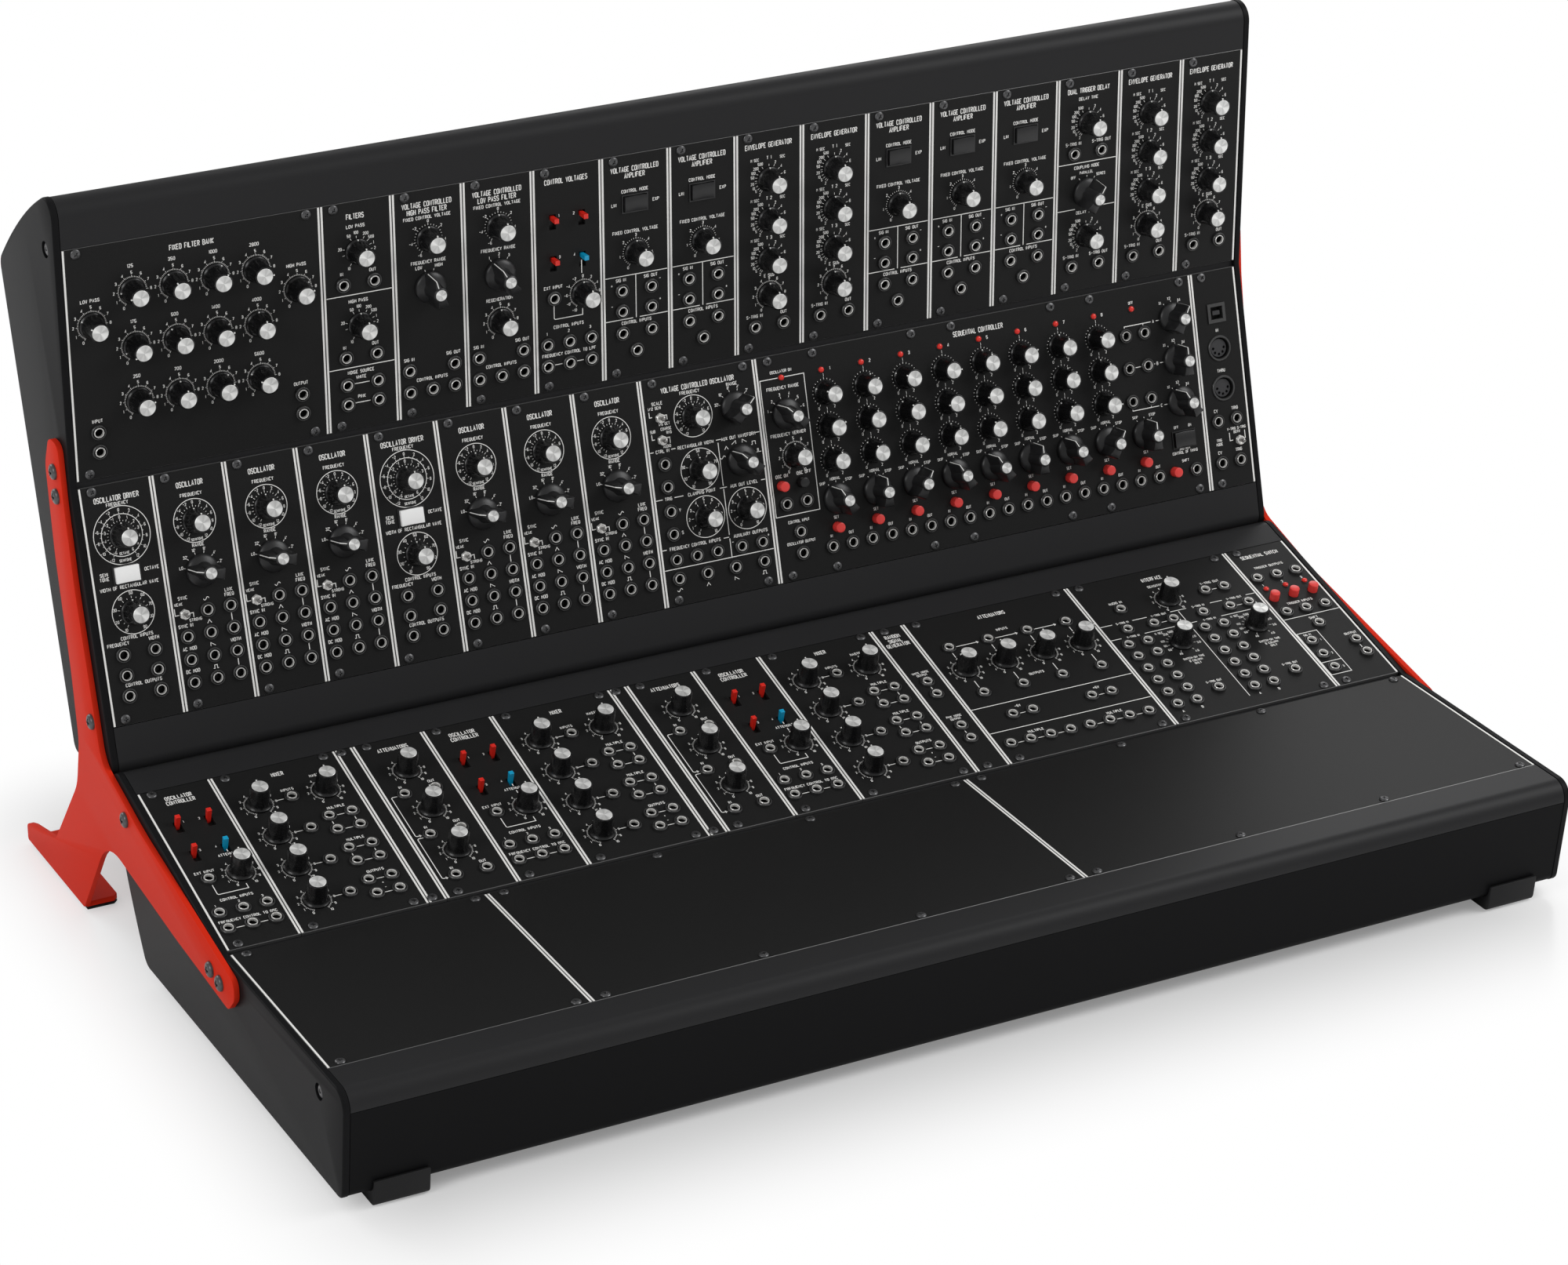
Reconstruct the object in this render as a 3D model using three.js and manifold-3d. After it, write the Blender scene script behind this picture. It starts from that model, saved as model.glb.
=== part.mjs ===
// A table-top modular synthesizer: two alike sloped cases full of control modules,
// one lying and one standing, held corner to corner by a pair of stand brackets.
// Millimetres, +X right, +Y back, +Z up, origin on the table under the middle.
import * as THREE from "three";
import { mergeVertices } from "three/addons/utils/BufferGeometryUtils.js";
import Module from "manifold-3d";

const wasm = await Module();
wasm.setup();
const degrees = (angle) => THREE.MathUtils.degToRad(angle);

// Driving dimensions of the rows and panels
const slotPitch = 5.08;
const rowSlots = 140;
const panelHeight = 128.5;
const panelThickness = 2;
const clearance = 0.3;
const overrun = 1;
const grooveWidth = 0.4;
const grooveDepth = 0.8;

// Driving dimensions of a case, seen from its side, from the front edge of its front row
const rowGap = 3.6;
const rowRise = 0.6;
const rowBend = degrees(14.9);
const frontRadius = 9.5;
const frontFlat = 18.4;
const frontLean = degrees(7.5);
const caseDepth = 62.5;
const floorFrontRadius = 6;
const floorRearRadius = 9;
const backOverhang = 31.93;
const backFootLean = degrees(29);
const backCurveReach = 42;
const backTopLean = degrees(12.5);
const rearRadius = 10;
const rearFlat = 15.6;
const sheetThickness = 1.5;
const railThickness = 2;
const railBarWidth = 9;
const railBarDepth = 8;
const cheekThickness = 3.6;
const cheekProud = 0.3;
const cheekBevel = 1;
const cheekScrewRadius = 4.6;
const cheekScrewSink = 1.5;
const cheekScrewIn = 3;
const cheekScrewDown = 13.5;

// Driving dimensions of the stand
const upperTilt = degrees(75.3);
const upperSeatBack = 12.67;
const upperSeatRise = 31.51;
const footHeight = 7.5;
const footWidth = 30;
const footInset = 16;
const footReach = 34;
const footLip = 2.4;
const footLipRise = 8;
const footEdgeRadius = 1;
const footRadius = 4;
const bracketThickness = 3;
const bracketNose = 22.8;
const bracketLength = 320;
const bracketHeight = 275.5;
const padThickness = 2;
const flangeWidth = 19.5;
const flangeRun = 89;
const flangeChamfer = 2.5;

// Driving dimensions of the knobs and pointer knobs
const knobHeight = 13;
const knobTopRadius = 5.2;
const knobFootRadius = 5.9;
const knobSkirtRadius = 7;
const knobSkirtHeight = 1.2;
const pointerHeight = 15.5;
const pointerRadius = 8.9;
const pointerSkirtHeight = 3.4;
const pointerDomeRadius = 5;
const pointerCapRadius = 3.4;
const wingLength = 17;
const wingWidth = 4.6;
const wingHeight = 11;
const shaftRadius = 3;
const shaftLength = 8;

// Driving dimensions of the switches, buttons and sockets
const rockerWidth = 13.8;
const rockerHeight = 8.6;
const rockerProud = 2.2;
const rockerDip = 1;
const rockerRoot = 5;
const slideWidth = 3.8;
const slideLength = 3.6;
const slideProud = 6.5;
const slideTravel = 4.4;
const buttonRadius = 3.6;
const buttonProud = 6;
const buttonRoot = 6;
const toggleNutRadius = 3.1;
const toggleNutHeight = 1.8;
const toggleLength = 8;
const toggleTipRadius = 1.4;
const toggleNeckRadius = 1;
const toggleSwing = degrees(12);
const dinRadius = 6.6;
const usbWidth = 8.6;
const usbHeight = 8.2;
const socketDepth = 9;
const socketWall = 1.5;

// Driving dimensions of what the cases hold
const boardThickness = 1.6;
const boardDepth = 14;
const boardMargin = 13;
const socketRowHeight = 7;
const busLength = 600;
const busWidth = 60;
const busAt = 120;
const busStandoff = 6;
const busHeaders = 10;
const headerLength = 28;
const headerWidth = 9;
const headerHeight = 8;
const inletWidth = 48;
const inletHeight = 24;
const inletPlate = 1.6;
const inletDepth = 15;
const inletRim = 3;
const inletSocketWidth = 20;
const inletSocketHeight = 13;
const inletSocketDepth = 12;
const inletFromSide = 120;
const rockerRoom = 1;

// Counts of the sides of round pieces and of the steps of arcs
const movingSides = 12;
const knobSides = 8;
const smallSides = 6;
const socketSides = 16;
const backSteps = 6;
const arcStep = degrees(20);

// Sizes that follow
const rowWidth = rowSlots * slotPitch;
const halfRow = rowWidth / 2;
const cheekInner = halfRow + clearance;
const cheekOuter = cheekInner + cheekThickness;
const panelSeat = panelThickness + clearance;
const sunk = panelThickness / 2;

// Materials, as the photograph shows them
const finish = (color, roughness, metalness) =>
  new THREE.MeshStandardMaterial({ color, roughness, metalness });
const finishes = {
  sheet: () => finish(0x232425, 0.55, 0.3),
  rail: () => finish(0x2a2b2c, 0.5, 0.4),
  panel: () => finish(0x1b1c1d, 0.5, 0.3),
  bracket: () => finish(0xc0281c, 0.45, 0.2),
  rubber: () => finish(0x0d0d0e, 0.85, 0),
  board: () => finish(0x14402a, 0.6, 0),
  black: () => finish(0x0c0c0d, 0.3, 0),
  metal: () => finish(0xb9bbbd, 0.3, 1),
  white: () => finish(0xe8e8e6, 0.4, 0),
  red: () => finish(0xc22420, 0.4, 0),
};

// A closed geometry becomes a solid that can be joined and cut
function toSolid(geometry, matrix) {
  const bare = new THREE.BufferGeometry();
  bare.setAttribute("position", geometry.getAttribute("position").clone());
  if (geometry.index) bare.setIndex(geometry.index.clone());
  if (matrix) bare.applyMatrix4(matrix);
  const merged = mergeVertices(bare);
  const corners = merged.index.array;
  const kept = [];
  for (let first = 0; first < corners.length; first += 3) {
    const [a, b, c] = corners.subarray(first, first + 3);
    if (a !== b && b !== c && c !== a) kept.push(a, b, c);
  }
  return new wasm.Manifold(
    new wasm.Mesh({
      numProp: 3,
      vertProperties: new Float32Array(merged.attributes.position.array),
      triVerts: new Uint32Array(kept),
    }),
  );
}

// A solid becomes a named mesh with a material of its own
function toMesh(name, solid, material) {
  const mesh = solid.getMesh();
  const geometry = new THREE.BufferGeometry();
  const positions = new Float32Array(mesh.vertProperties);
  geometry.setAttribute("position", new THREE.BufferAttribute(positions, 3));
  geometry.setIndex(new THREE.BufferAttribute(new Uint32Array(mesh.triVerts), 1));
  geometry.computeVertexNormals();
  const named = new THREE.Mesh(geometry, material);
  named.name = name;
  return named;
}

const joined = (solids) => solids.reduce((whole, piece) => whole.add(piece));
const cut = (solid, cutters) => cutters.reduce((whole, cutter) => whole.subtract(cutter), solid);
const move = (x, y, z) => new THREE.Matrix4().makeTranslation(x, y, z);
const upright = new THREE.Matrix4().makeRotationX(Math.PI / 2);

// A box from its lowest to its highest corner
function boxSolid(lowX, lowY, lowZ, highX, highY, highZ) {
  const geometry = new THREE.BoxGeometry(highX - lowX, highY - lowY, highZ - lowZ);
  return toSolid(geometry, move((lowX + highX) / 2, (lowY + highY) / 2, (lowZ + highZ) / 2));
}

// A round stub along Z from one height to another, a flat side towards -Y
function stubSolid(x, y, low, high, footRadius, topRadius, sides) {
  const geometry = new THREE.CylinderGeometry(topRadius, footRadius, high - low, sides);
  geometry.rotateY(Math.PI / sides);
  return toSolid(geometry, move(x, y, (low + high) / 2).multiply(upright));
}

// A solid turned about Z, from radius and height pairs that start and end on the axis
function turnedSolid(profile, sides) {
  const points = profile.map(([radius, height]) => new THREE.Vector2(radius, height));
  return toSolid(new THREE.LatheGeometry(points, sides), upright);
}

// A side outline of Y and Z, pushed out along X between two places
function sideSolid(points, fromX, toX, bevel = 0) {
  const geometry = new THREE.ExtrudeGeometry(new THREE.Shape(points), {
    depth: toX - fromX - 2 * bevel,
    bevelEnabled: bevel > 0,
    bevelThickness: bevel,
    bevelSize: bevel,
    bevelOffset: -bevel,
    bevelSegments: 1,
  });
  const sideways = new THREE.Matrix4().makeBasis(
    new THREE.Vector3(0, 1, 0),
    new THREE.Vector3(0, 0, 1),
    new THREE.Vector3(1, 0, 0),
  );
  return toSolid(geometry, move(fromX + bevel, 0, 0).multiply(sideways));
}

function onArc(centre, radius, angle) {
  const spoke = new THREE.Vector2(Math.cos(angle), Math.sin(angle));
  return spoke.multiplyScalar(radius).add(centre);
}

function arcPoints(centre, radius, fromAngle, toAngle) {
  const points = [];
  const count = Math.max(1, Math.round(Math.abs(toAngle - fromAngle) / arcStep));
  for (let step = 0; step <= count; step++) {
    const angle = THREE.MathUtils.lerp(fromAngle, toAngle, step / count);
    points.push(onArc(centre, radius, angle));
  }
  return points;
}

// An outline through sharp corners, each rounded by an arc that touches both its sides
function roundedOutline(corners) {
  return corners.flatMap(({ at, radius }, index) => {
    const before = corners[(index + corners.length - 1) % corners.length].at;
    const after = corners[(index + 1) % corners.length].at;
    const toBefore = before.clone().sub(at).normalize();
    const toAfter = after.clone().sub(at).normalize();
    const halfAngle = Math.acos(toBefore.dot(toAfter)) / 2;
    const bisector = toBefore.clone().add(toAfter).normalize();
    const centre = bisector.multiplyScalar(radius / Math.sin(halfAngle)).add(at);
    const setback = radius / Math.tan(halfAngle);
    const start = toBefore.multiplyScalar(setback).add(at).sub(centre);
    const end = toAfter.multiplyScalar(setback).add(at).sub(centre);
    const sweep = Math.sign(start.cross(end)) * (Math.PI - 2 * halfAngle);
    return arcPoints(centre, radius, start.angle(), start.angle() + sweep);
  });
}

// Case section: the rear row starts past a gap and leans up by the bend
const rearRowAt = new THREE.Vector2(panelHeight + rowGap, rowRise);
const bendAt = new THREE.Vector2(rearRowAt.x - rearRowAt.y / Math.tan(rowBend), 0);

function rearPoint(along, out) {
  return new THREE.Vector2(along, out).rotateAround(new THREE.Vector2(), rowBend).add(rearRowAt);
}

const frontArcAt = new THREE.Vector2(-frontFlat, -frontRadius);
const rearArcAt = rearPoint(panelHeight + rearFlat, -rearRadius);
const floorRearArcAt = new THREE.Vector2(
  rearArcAt.x - backOverhang,
  floorRearRadius - caseDepth,
);
const down = -Math.PI / 2;
const up = Math.PI / 2;
const frontWallAngle = -Math.PI + frontLean;

// The bottom front corner's arc touches the leaning front wall and the flat floor
const frontWallTop = onArc(frontArcAt, frontRadius, frontWallAngle);
const frontWallDrop = frontWallTop.y + caseDepth - floorFrontRadius;
const floorFrontArcAt = new THREE.Vector2(
  frontWallTop.x + frontWallDrop * Math.tan(frontLean) + floorFrontRadius / Math.cos(frontLean),
  floorFrontRadius - caseDepth,
);

// From the front seam down, under the floor and up the curved back to the rear seam
function wallPoints(grow) {
  const backFoot = onArc(floorRearArcAt, floorRearRadius + grow, -backFootLean);
  const backTop = onArc(rearArcAt, rearRadius + grow, -backTopLean);
  const rising = new THREE.Vector2(Math.sin(backTopLean), Math.cos(backTopLean));
  const pull = backTop.clone().addScaledVector(rising, -backCurveReach);
  const back = new THREE.QuadraticBezierCurve(backFoot, pull, backTop);
  return [
    onArc(frontArcAt, frontRadius + grow, frontWallAngle),
    ...arcPoints(floorFrontArcAt, floorFrontRadius + grow, frontWallAngle, down),
    ...arcPoints(floorRearArcAt, floorRearRadius + grow, down, -backFootLean),
    ...back.getPoints(backSteps).slice(1),
  ];
}

function caseOutline(grow) {
  const rearCorner = arcPoints(rearArcAt, rearRadius + grow, -backTopLean, up + rowBend);
  const frontCorner = arcPoints(frontArcAt, frontRadius + grow, up, up * 2 + frontLean);
  const bend = new THREE.Vector2(bendAt.x, bendAt.y + grow);
  return [...wallPoints(grow), ...rearCorner.slice(1), bend, ...frontCorner.slice(0, -1)];
}

// The folded tub is one sheet: front wall, floor and curved back wall
function tubOutline() {
  const outer = wallPoints(0);
  const inner = wallPoints(-sheetThickness);
  for (const end of [outer[0], inner[0], outer.at(-1), inner.at(-1)]) end.y -= clearance;
  return [...outer, ...inner.reverse()];
}

// The front rail wraps the rounded front edge and carries the near ends of the front panels
function frontRailOutline() {
  const bottom = -panelSeat - railBarDepth;
  const shoulder = -clearance - railThickness;
  const innerRadius = frontRadius - railThickness;
  return [
    new THREE.Vector2(-clearance, 0),
    ...arcPoints(frontArcAt, frontRadius, up, up * 2 + frontLean),
    ...arcPoints(frontArcAt, innerRadius, up * 2 + frontLean, up),
    new THREE.Vector2(shoulder, -railThickness),
    new THREE.Vector2(shoulder, bottom),
    new THREE.Vector2(railBarWidth, bottom),
    new THREE.Vector2(railBarWidth, -panelSeat),
    new THREE.Vector2(-clearance, -panelSeat),
  ];
}

// The middle rail follows the bend and carries the inner ends of both rows of panels
function middleRailOutline() {
  const bottom = -panelSeat - railBarDepth;
  const crease = (height) => new THREE.Vector2(
    bendAt.x - height * Math.tan(rowBend / 2),
    height,
  );
  return [
    new THREE.Vector2(panelHeight - railBarWidth, bottom),
    crease(bottom),
    rearPoint(railBarWidth, bottom),
    rearPoint(railBarWidth, -panelSeat),
    crease(-panelSeat),
    new THREE.Vector2(panelHeight - railBarWidth, -panelSeat),
  ];
}

// The rear rail wraps the rounded rear edge and carries the far ends of the rear panels
function rearRailOutline() {
  const bottom = -panelSeat - railBarDepth;
  const edge = panelHeight + clearance;
  const innerRadius = rearRadius - railThickness;
  return [
    rearPoint(edge, -panelSeat),
    rearPoint(panelHeight - railBarWidth, -panelSeat),
    rearPoint(panelHeight - railBarWidth, bottom),
    rearPoint(edge + railThickness, bottom),
    rearPoint(edge + railThickness, -railThickness),
    ...arcPoints(rearArcAt, innerRadius, up + rowBend, -backTopLean),
    ...arcPoints(rearArcAt, rearRadius, -backTopLean, up + rowBend),
    rearPoint(edge, 0),
  ];
}

// The power inlet sits on the middle of the back wall: X along it, Y up it, Z out of it
const backWall = wallPoints(0).slice(-backSteps - 1);
const inletLow = backWall[backSteps / 2 - 1];
const inletHigh = backWall[backSteps / 2 + 1];
const inletMiddle = inletLow.clone().add(inletHigh).multiplyScalar(0.5);
const inletRise = inletHigh.clone().sub(inletLow).angle();
const wallBulge = backWall[backSteps / 2].distanceTo(inletMiddle);
const inletX = halfRow - inletFromSide;
const inletFrame = new THREE.Matrix4()
  .makeBasis(
    new THREE.Vector3(-1, 0, 0),
    new THREE.Vector3(0, Math.cos(inletRise), Math.sin(inletRise)),
    new THREE.Vector3(0, Math.sin(inletRise), -Math.cos(inletRise)),
  )
  .setPosition(inletX, inletMiddle.x, inletMiddle.y);
const inletUnder = wallBulge + clearance;
const inletFace = inletUnder + inletPlate;
const inletHalfWidth = inletWidth / 2;
const inletHalfHeight = inletHeight / 2;
const powerRockerAt = inletHalfWidth - inletRim * 2 - rockerHeight / 2;
const powerSocketAt = inletRim * 2 + inletSocketWidth / 2 - inletHalfWidth;

function inletSolid() {
  const bodyX = inletHalfWidth - inletRim;
  const bodyY = inletHalfHeight - inletRim;
  const socketX = inletSocketWidth / 2;
  const socketY = inletSocketHeight / 2;
  const plate = boxSolid(
    -inletHalfWidth,
    -inletHalfHeight,
    inletUnder,
    inletHalfWidth,
    inletHalfHeight,
    inletFace,
  );
  const body = boxSolid(-bodyX, -bodyY, -inletDepth, bodyX, bodyY, inletUnder + inletPlate / 2);
  const socket = boxSolid(
    powerSocketAt - socketX,
    -socketY,
    inletFace - inletSocketDepth,
    powerSocketAt + socketX,
    socketY,
    inletFace + overrun,
  );
  const mouth = powerPocket(clearance, -inletDepth - overrun, inletFace + overrun);
  const room = powerPocket(rockerRoom, -inletDepth - overrun, inletUnder);
  return cut(plate.add(body), [socket, mouth, room]);
}

// The power rocker's pocket is tight in the plate and wider behind it, where the root swings
function powerPocket(around, lowZ, highZ) {
  const halfX = rockerHeight / 2 + around;
  const halfY = rockerWidth / 2 + around;
  return boxSolid(powerRockerAt - halfX, -halfY, lowZ, powerRockerAt + halfX, halfY, highZ);
}

// The window that the tub's back wall has for the inlet's body
function inletWindow() {
  const halfX = inletHalfWidth - inletRim + clearance;
  const halfY = inletHalfHeight - inletRim + clearance;
  const geometry = new THREE.BoxGeometry(halfX * 2, halfY * 2, inletDepth);
  return toSolid(geometry, inletFrame);
}

// Cheeks close the ends, each with a sunk screw over each rail end
function cheekScrewPlaces() {
  return [
    new THREE.Vector2(cheekScrewIn, -cheekScrewDown),
    new THREE.Vector2(panelHeight - cheekScrewIn, -cheekScrewDown),
    rearPoint(cheekScrewIn, -cheekScrewDown),
    rearPoint(panelHeight - cheekScrewIn, -cheekScrewDown),
  ];
}

function cheekSolid(side) {
  const fromX = side > 0 ? cheekInner : -cheekOuter;
  const plate = sideSolid(caseOutline(cheekProud), fromX, fromX + cheekThickness, cheekBevel);
  const faceX = side * cheekOuter;
  const across = new THREE.Matrix4().makeRotationZ(up);
  const sinks = cheekScrewPlaces().map((place) => {
    const geometry = new THREE.CylinderGeometry(
      cheekScrewRadius,
      cheekScrewRadius,
      cheekScrewSink * 2,
      movingSides,
    );
    return toSolid(geometry, move(faceX, place.x, place.y).multiply(across));
  });
  return cut(plate, sinks);
}

// The bus board stands on the floor in short posts and carries a row of power headers
function busSolid() {
  const floor = sheetThickness + clearance - caseDepth;
  const low = floor + busStandoff;
  const high = low + boardThickness;
  const halfLength = busLength / 2;
  const lowY = busAt - busWidth / 2;
  const highY = busAt + busWidth / 2;
  const board = boxSolid(-halfLength, lowY, low, halfLength, highY, high);
  const headers = [];
  for (let index = 0; index < busHeaders; index++) {
    const x = busLength * ((index + 1 / 2) / busHeaders - 1 / 2);
    const halfHeader = headerLength / 2;
    const highZ = high + headerHeight;
    const header = boxSolid(
      x - halfHeader,
      busAt - headerWidth / 2,
      low + boardThickness / 2,
      x + halfHeader,
      busAt + headerWidth / 2,
      highZ,
    );
    headers.push(header);
  }
  const posts = [-halfLength, halfLength].flatMap((endX) => [lowY, highY].map((endY) => {
    const x = endX - Math.sign(endX) * headerWidth;
    const y = endY - Math.sign(endY - busAt) * headerWidth;
    return stubSolid(x, y, floor, low + boardThickness / 2, shaftRadius, shaftRadius, smallSides);
  }));
  return joined([board, ...headers, ...posts]);
}

// The bracket's outline: share along, share up and corner radius share of its length
const bracketShares = [
  [0.714, 0, 0.006],
  [1, 0, 0.004],
  [1, 0.036, 0.014],
  [0.966, 0.05, 0.04],
  [0.845, 0.082, 0.035],
  [0.707, 0.274, 0.1],
  [0.681, 0.383, 0.1],
  [0.697, 0.528, 0.2],
  [0.737, 0.75, 0.2],
  [0.755, 0.935, 0.05],
  [0.73, 1, 0.025],
  [0.686, 1, 0.02],
  [0.676, 0.891, 0.1],
  [0.648, 0.716, 0.3],
  [0.572, 0.39, 0.05],
  [0.402, 0.331, 0.4],
  [0, 0.236, 0.018],
  [0, 0.198, 0.025],
  [0.029, 0.163, 0.02],
  [0.262, 0.184, 0.4],
  [0.573, 0.223, 0.115],
];
const bracketInner = cheekOuter + clearance;
const bracketOuter = bracketInner + bracketThickness;
const bracketFront = panelHeight - bracketNose;
const bracketRear = bracketFront + bracketLength;
const lowerZ = footHeight + caseDepth;

function bracketSolid(side) {
  const corners = bracketShares.map(([along, rise, radius]) => ({
    at: new THREE.Vector2(
      bracketFront + along * bracketLength,
      padThickness + rise * bracketHeight,
    ),
    radius: radius * bracketLength,
  }));
  const plate = sideSolid(
    roundedOutline(corners),
    Math.min(side * bracketInner, side * bracketOuter),
    Math.max(side * bracketInner, side * bracketOuter),
  );
  return plate.add(flangeSolid(side, padThickness, padThickness + bracketThickness));
}

// The foot flange is bent inwards at the bottom, its front inner corner cut off
function flangeSolid(side, lowZ, highZ) {
  const inner = side * (bracketOuter - flangeWidth);
  const outer = side * (bracketInner + bracketThickness / 2);
  const rear = bracketRear - bracketThickness;
  const front = rear - flangeRun;
  const outline = [
    new THREE.Vector2(outer, front),
    new THREE.Vector2(outer, rear),
    new THREE.Vector2(inner, rear),
    new THREE.Vector2(inner, front + flangeChamfer),
    new THREE.Vector2(inner + side * flangeChamfer, front),
  ];
  const geometry = new THREE.ExtrudeGeometry(new THREE.Shape(outline), {
    depth: highZ - lowZ,
    bevelEnabled: false,
  });
  return toSolid(geometry, move(0, 0, lowZ));
}

// A front foot wraps the lower front edge of the lower case
function footSolid(side) {
  const corner = (y, z, radius) => ({ at: new THREE.Vector2(y, z), radius });
  const wallFoot = floorFrontArcAt.x - floorFrontRadius / Math.cos(frontLean);
  const lean = Math.tan(frontLean);
  const lipTop = footHeight + footLipRise;
  const frontAt = (z) => wallFoot - footLip - (z - footHeight - floorFrontRadius) * lean;
  const outline = roundedOutline([
    corner(frontAt(0), 0, footRadius),
    corner(frontAt(0) + footReach, 0, footEdgeRadius),
    corner(frontAt(0) + footReach, footHeight + footEdgeRadius * 2, footEdgeRadius),
    corner(frontAt(lipTop) + footLip * 2, lipTop, footEdgeRadius),
    corner(frontAt(lipTop), lipTop, footEdgeRadius / 2),
  ]);
  const edges = [side * (cheekOuter - footInset), side * (cheekOuter - footInset - footWidth)];
  const block = sideSolid(outline, Math.min(...edges), Math.max(...edges));
  const shell = sideSolid(caseOutline(clearance), -cheekOuter, cheekOuter);
  return block.subtract(shell.translate([0, 0, lowerZ]));
}

// Fixed controls stand on their panel at a place, as one body with it
const fixedShapes = {
  knob: (x, y) =>
    stubSolid(x, y, -sunk, knobHeight, knobFootRadius, knobTopRadius, knobSides),
  pointer: (x, y) =>
    stubSolid(x, y, -sunk, pointerHeight, pointerRadius, pointerCapRadius, knobSides),
  rocker: (x, y) => blockSolid(x, y, rockerWidth, rockerHeight, rockerProud),
  slide: (x, y) => blockSolid(x, y, slideWidth, slideLength, slideProud),
  button: (x, y) => stubSolid(x, y, -sunk, buttonProud, buttonRadius, buttonRadius, knobSides),
  toggle: (x, y) =>
    toggleNut(x, y).add(
      stubSolid(
        x,
        y,
        0,
        toggleNutHeight + toggleLength,
        toggleNeckRadius,
        toggleTipRadius,
        smallSides,
      ),
    ),
};

function blockSolid(x, y, width, height, proud) {
  return boxSolid(x - width / 2, y - height / 2, -sunk, x + width / 2, y + height / 2, proud);
}

function toggleNut(x, y) {
  return stubSolid(x, y, -sunk, toggleNutHeight, toggleNutRadius, toggleNutRadius, smallSides);
}

// Moving controls are bodies of their own, about their own place on the panel's face
const movingShapes = {
  knob: () =>
    turnedSolid(
      [
        [0, -shaftLength],
        [shaftRadius, -shaftLength],
        [shaftRadius, clearance],
        [knobSkirtRadius, clearance],
        [knobSkirtRadius, knobSkirtHeight],
        [knobFootRadius, knobSkirtHeight],
        [knobTopRadius, knobHeight],
        [0, knobHeight],
      ],
      movingSides,
    ),
  pointer: () => {
    const turned = turnedSolid(
      [
        [0, -shaftLength],
        [shaftRadius, -shaftLength],
        [shaftRadius, clearance],
        [pointerRadius, clearance],
        [pointerRadius, pointerSkirtHeight],
        [pointerDomeRadius, pointerSkirtHeight],
        [pointerCapRadius, pointerHeight],
        [0, pointerHeight],
      ],
      movingSides,
    );
    const wing = boxSolid(
      -wingWidth / 2,
      -wingLength / 2,
      pointerSkirtHeight / 2,
      wingWidth / 2,
      wingLength / 2,
      wingHeight,
    );
    return turned.add(wing);
  },
  rocker: () => rockerSolid(),
  slide: () =>
    boxSolid(
      -slideWidth / 2,
      -slideLength / 2,
      -rockerRoot,
      slideWidth / 2,
      slideLength / 2,
      slideProud,
    ),
  button: () => stubSolid(0, 0, -buttonRoot, buttonProud, buttonRadius, buttonRadius, movingSides),
  toggle: () =>
    stubSolid(
      0,
      0,
      -panelThickness,
      toggleNutHeight + toggleLength,
      toggleNeckRadius,
      toggleTipRadius,
      knobSides,
    ),
};

// A rocker dips in the middle and rocks about Y
function rockerSolid() {
  const half = rockerWidth / 2;
  const outline = new THREE.Shape([
    new THREE.Vector2(-half, -rockerRoot),
    new THREE.Vector2(half, -rockerRoot),
    new THREE.Vector2(half, rockerProud),
    new THREE.Vector2(0, rockerProud - rockerDip),
    new THREE.Vector2(-half, rockerProud),
  ]);
  const geometry = new THREE.ExtrudeGeometry(outline, {
    depth: rockerHeight,
    bevelEnabled: false,
  });
  return toSolid(geometry, move(0, rockerHeight / 2, 0).multiply(upright));
}

// What a moving control leaves of its panel: a hole that clears it all round
const widened = (radius, sides) => (radius + clearance) / Math.cos(Math.PI / sides);

function roundHole(x, y, radius, high) {
  const wide = widened(radius, movingSides);
  return stubSolid(x, y, -panelThickness - overrun, high, wide, wide, movingSides);
}

function squareHole(lowX, lowY, highX, highY) {
  return boxSolid(
    lowX - clearance,
    lowY - clearance,
    -panelThickness - overrun,
    highX + clearance,
    highY + clearance,
    overrun,
  );
}

const holeShapes = {
  knob: (x, y) => roundHole(x, y, shaftRadius, overrun),
  pointer: (x, y) => roundHole(x, y, shaftRadius, overrun),
  rocker: (x, y) =>
    squareHole(
      x - rockerWidth / 2,
      y - rockerHeight / 2,
      x + rockerWidth / 2,
      y + rockerHeight / 2,
    ),
  slide: (x, y) =>
    squareHole(
      x - slideWidth / 2,
      y - slideLength / 2 - slideTravel,
      x + slideWidth / 2,
      y + slideLength / 2,
    ),
  button: (x, y) => roundHole(x, y, buttonRadius, overrun),
  toggle: (x, y) => {
    const swing = (toggleNutHeight + panelThickness) * Math.tan(toggleSwing);
    return roundHole(x, y, toggleNeckRadius + swing / 2, toggleNutHeight + overrun);
  },
};

const movingFinishes = {
  knob: finishes.black,
  pointer: finishes.black,
  rocker: finishes.black,
  slide: finishes.red,
  button: finishes.red,
  toggle: finishes.metal,
};

// Places where every one of some columns meets every one of some rows
const grid = (columnShares, rowShares) =>
  columnShares.flatMap((column) => rowShares.map((row) => [column, row]));

// Where each kind of module has its controls, as shares of its width and of its height
const socketRowShare = 0.128;
const tripleShares = [0.165, 0.49, 0.81];
const middleShares = [0.5];

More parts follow.
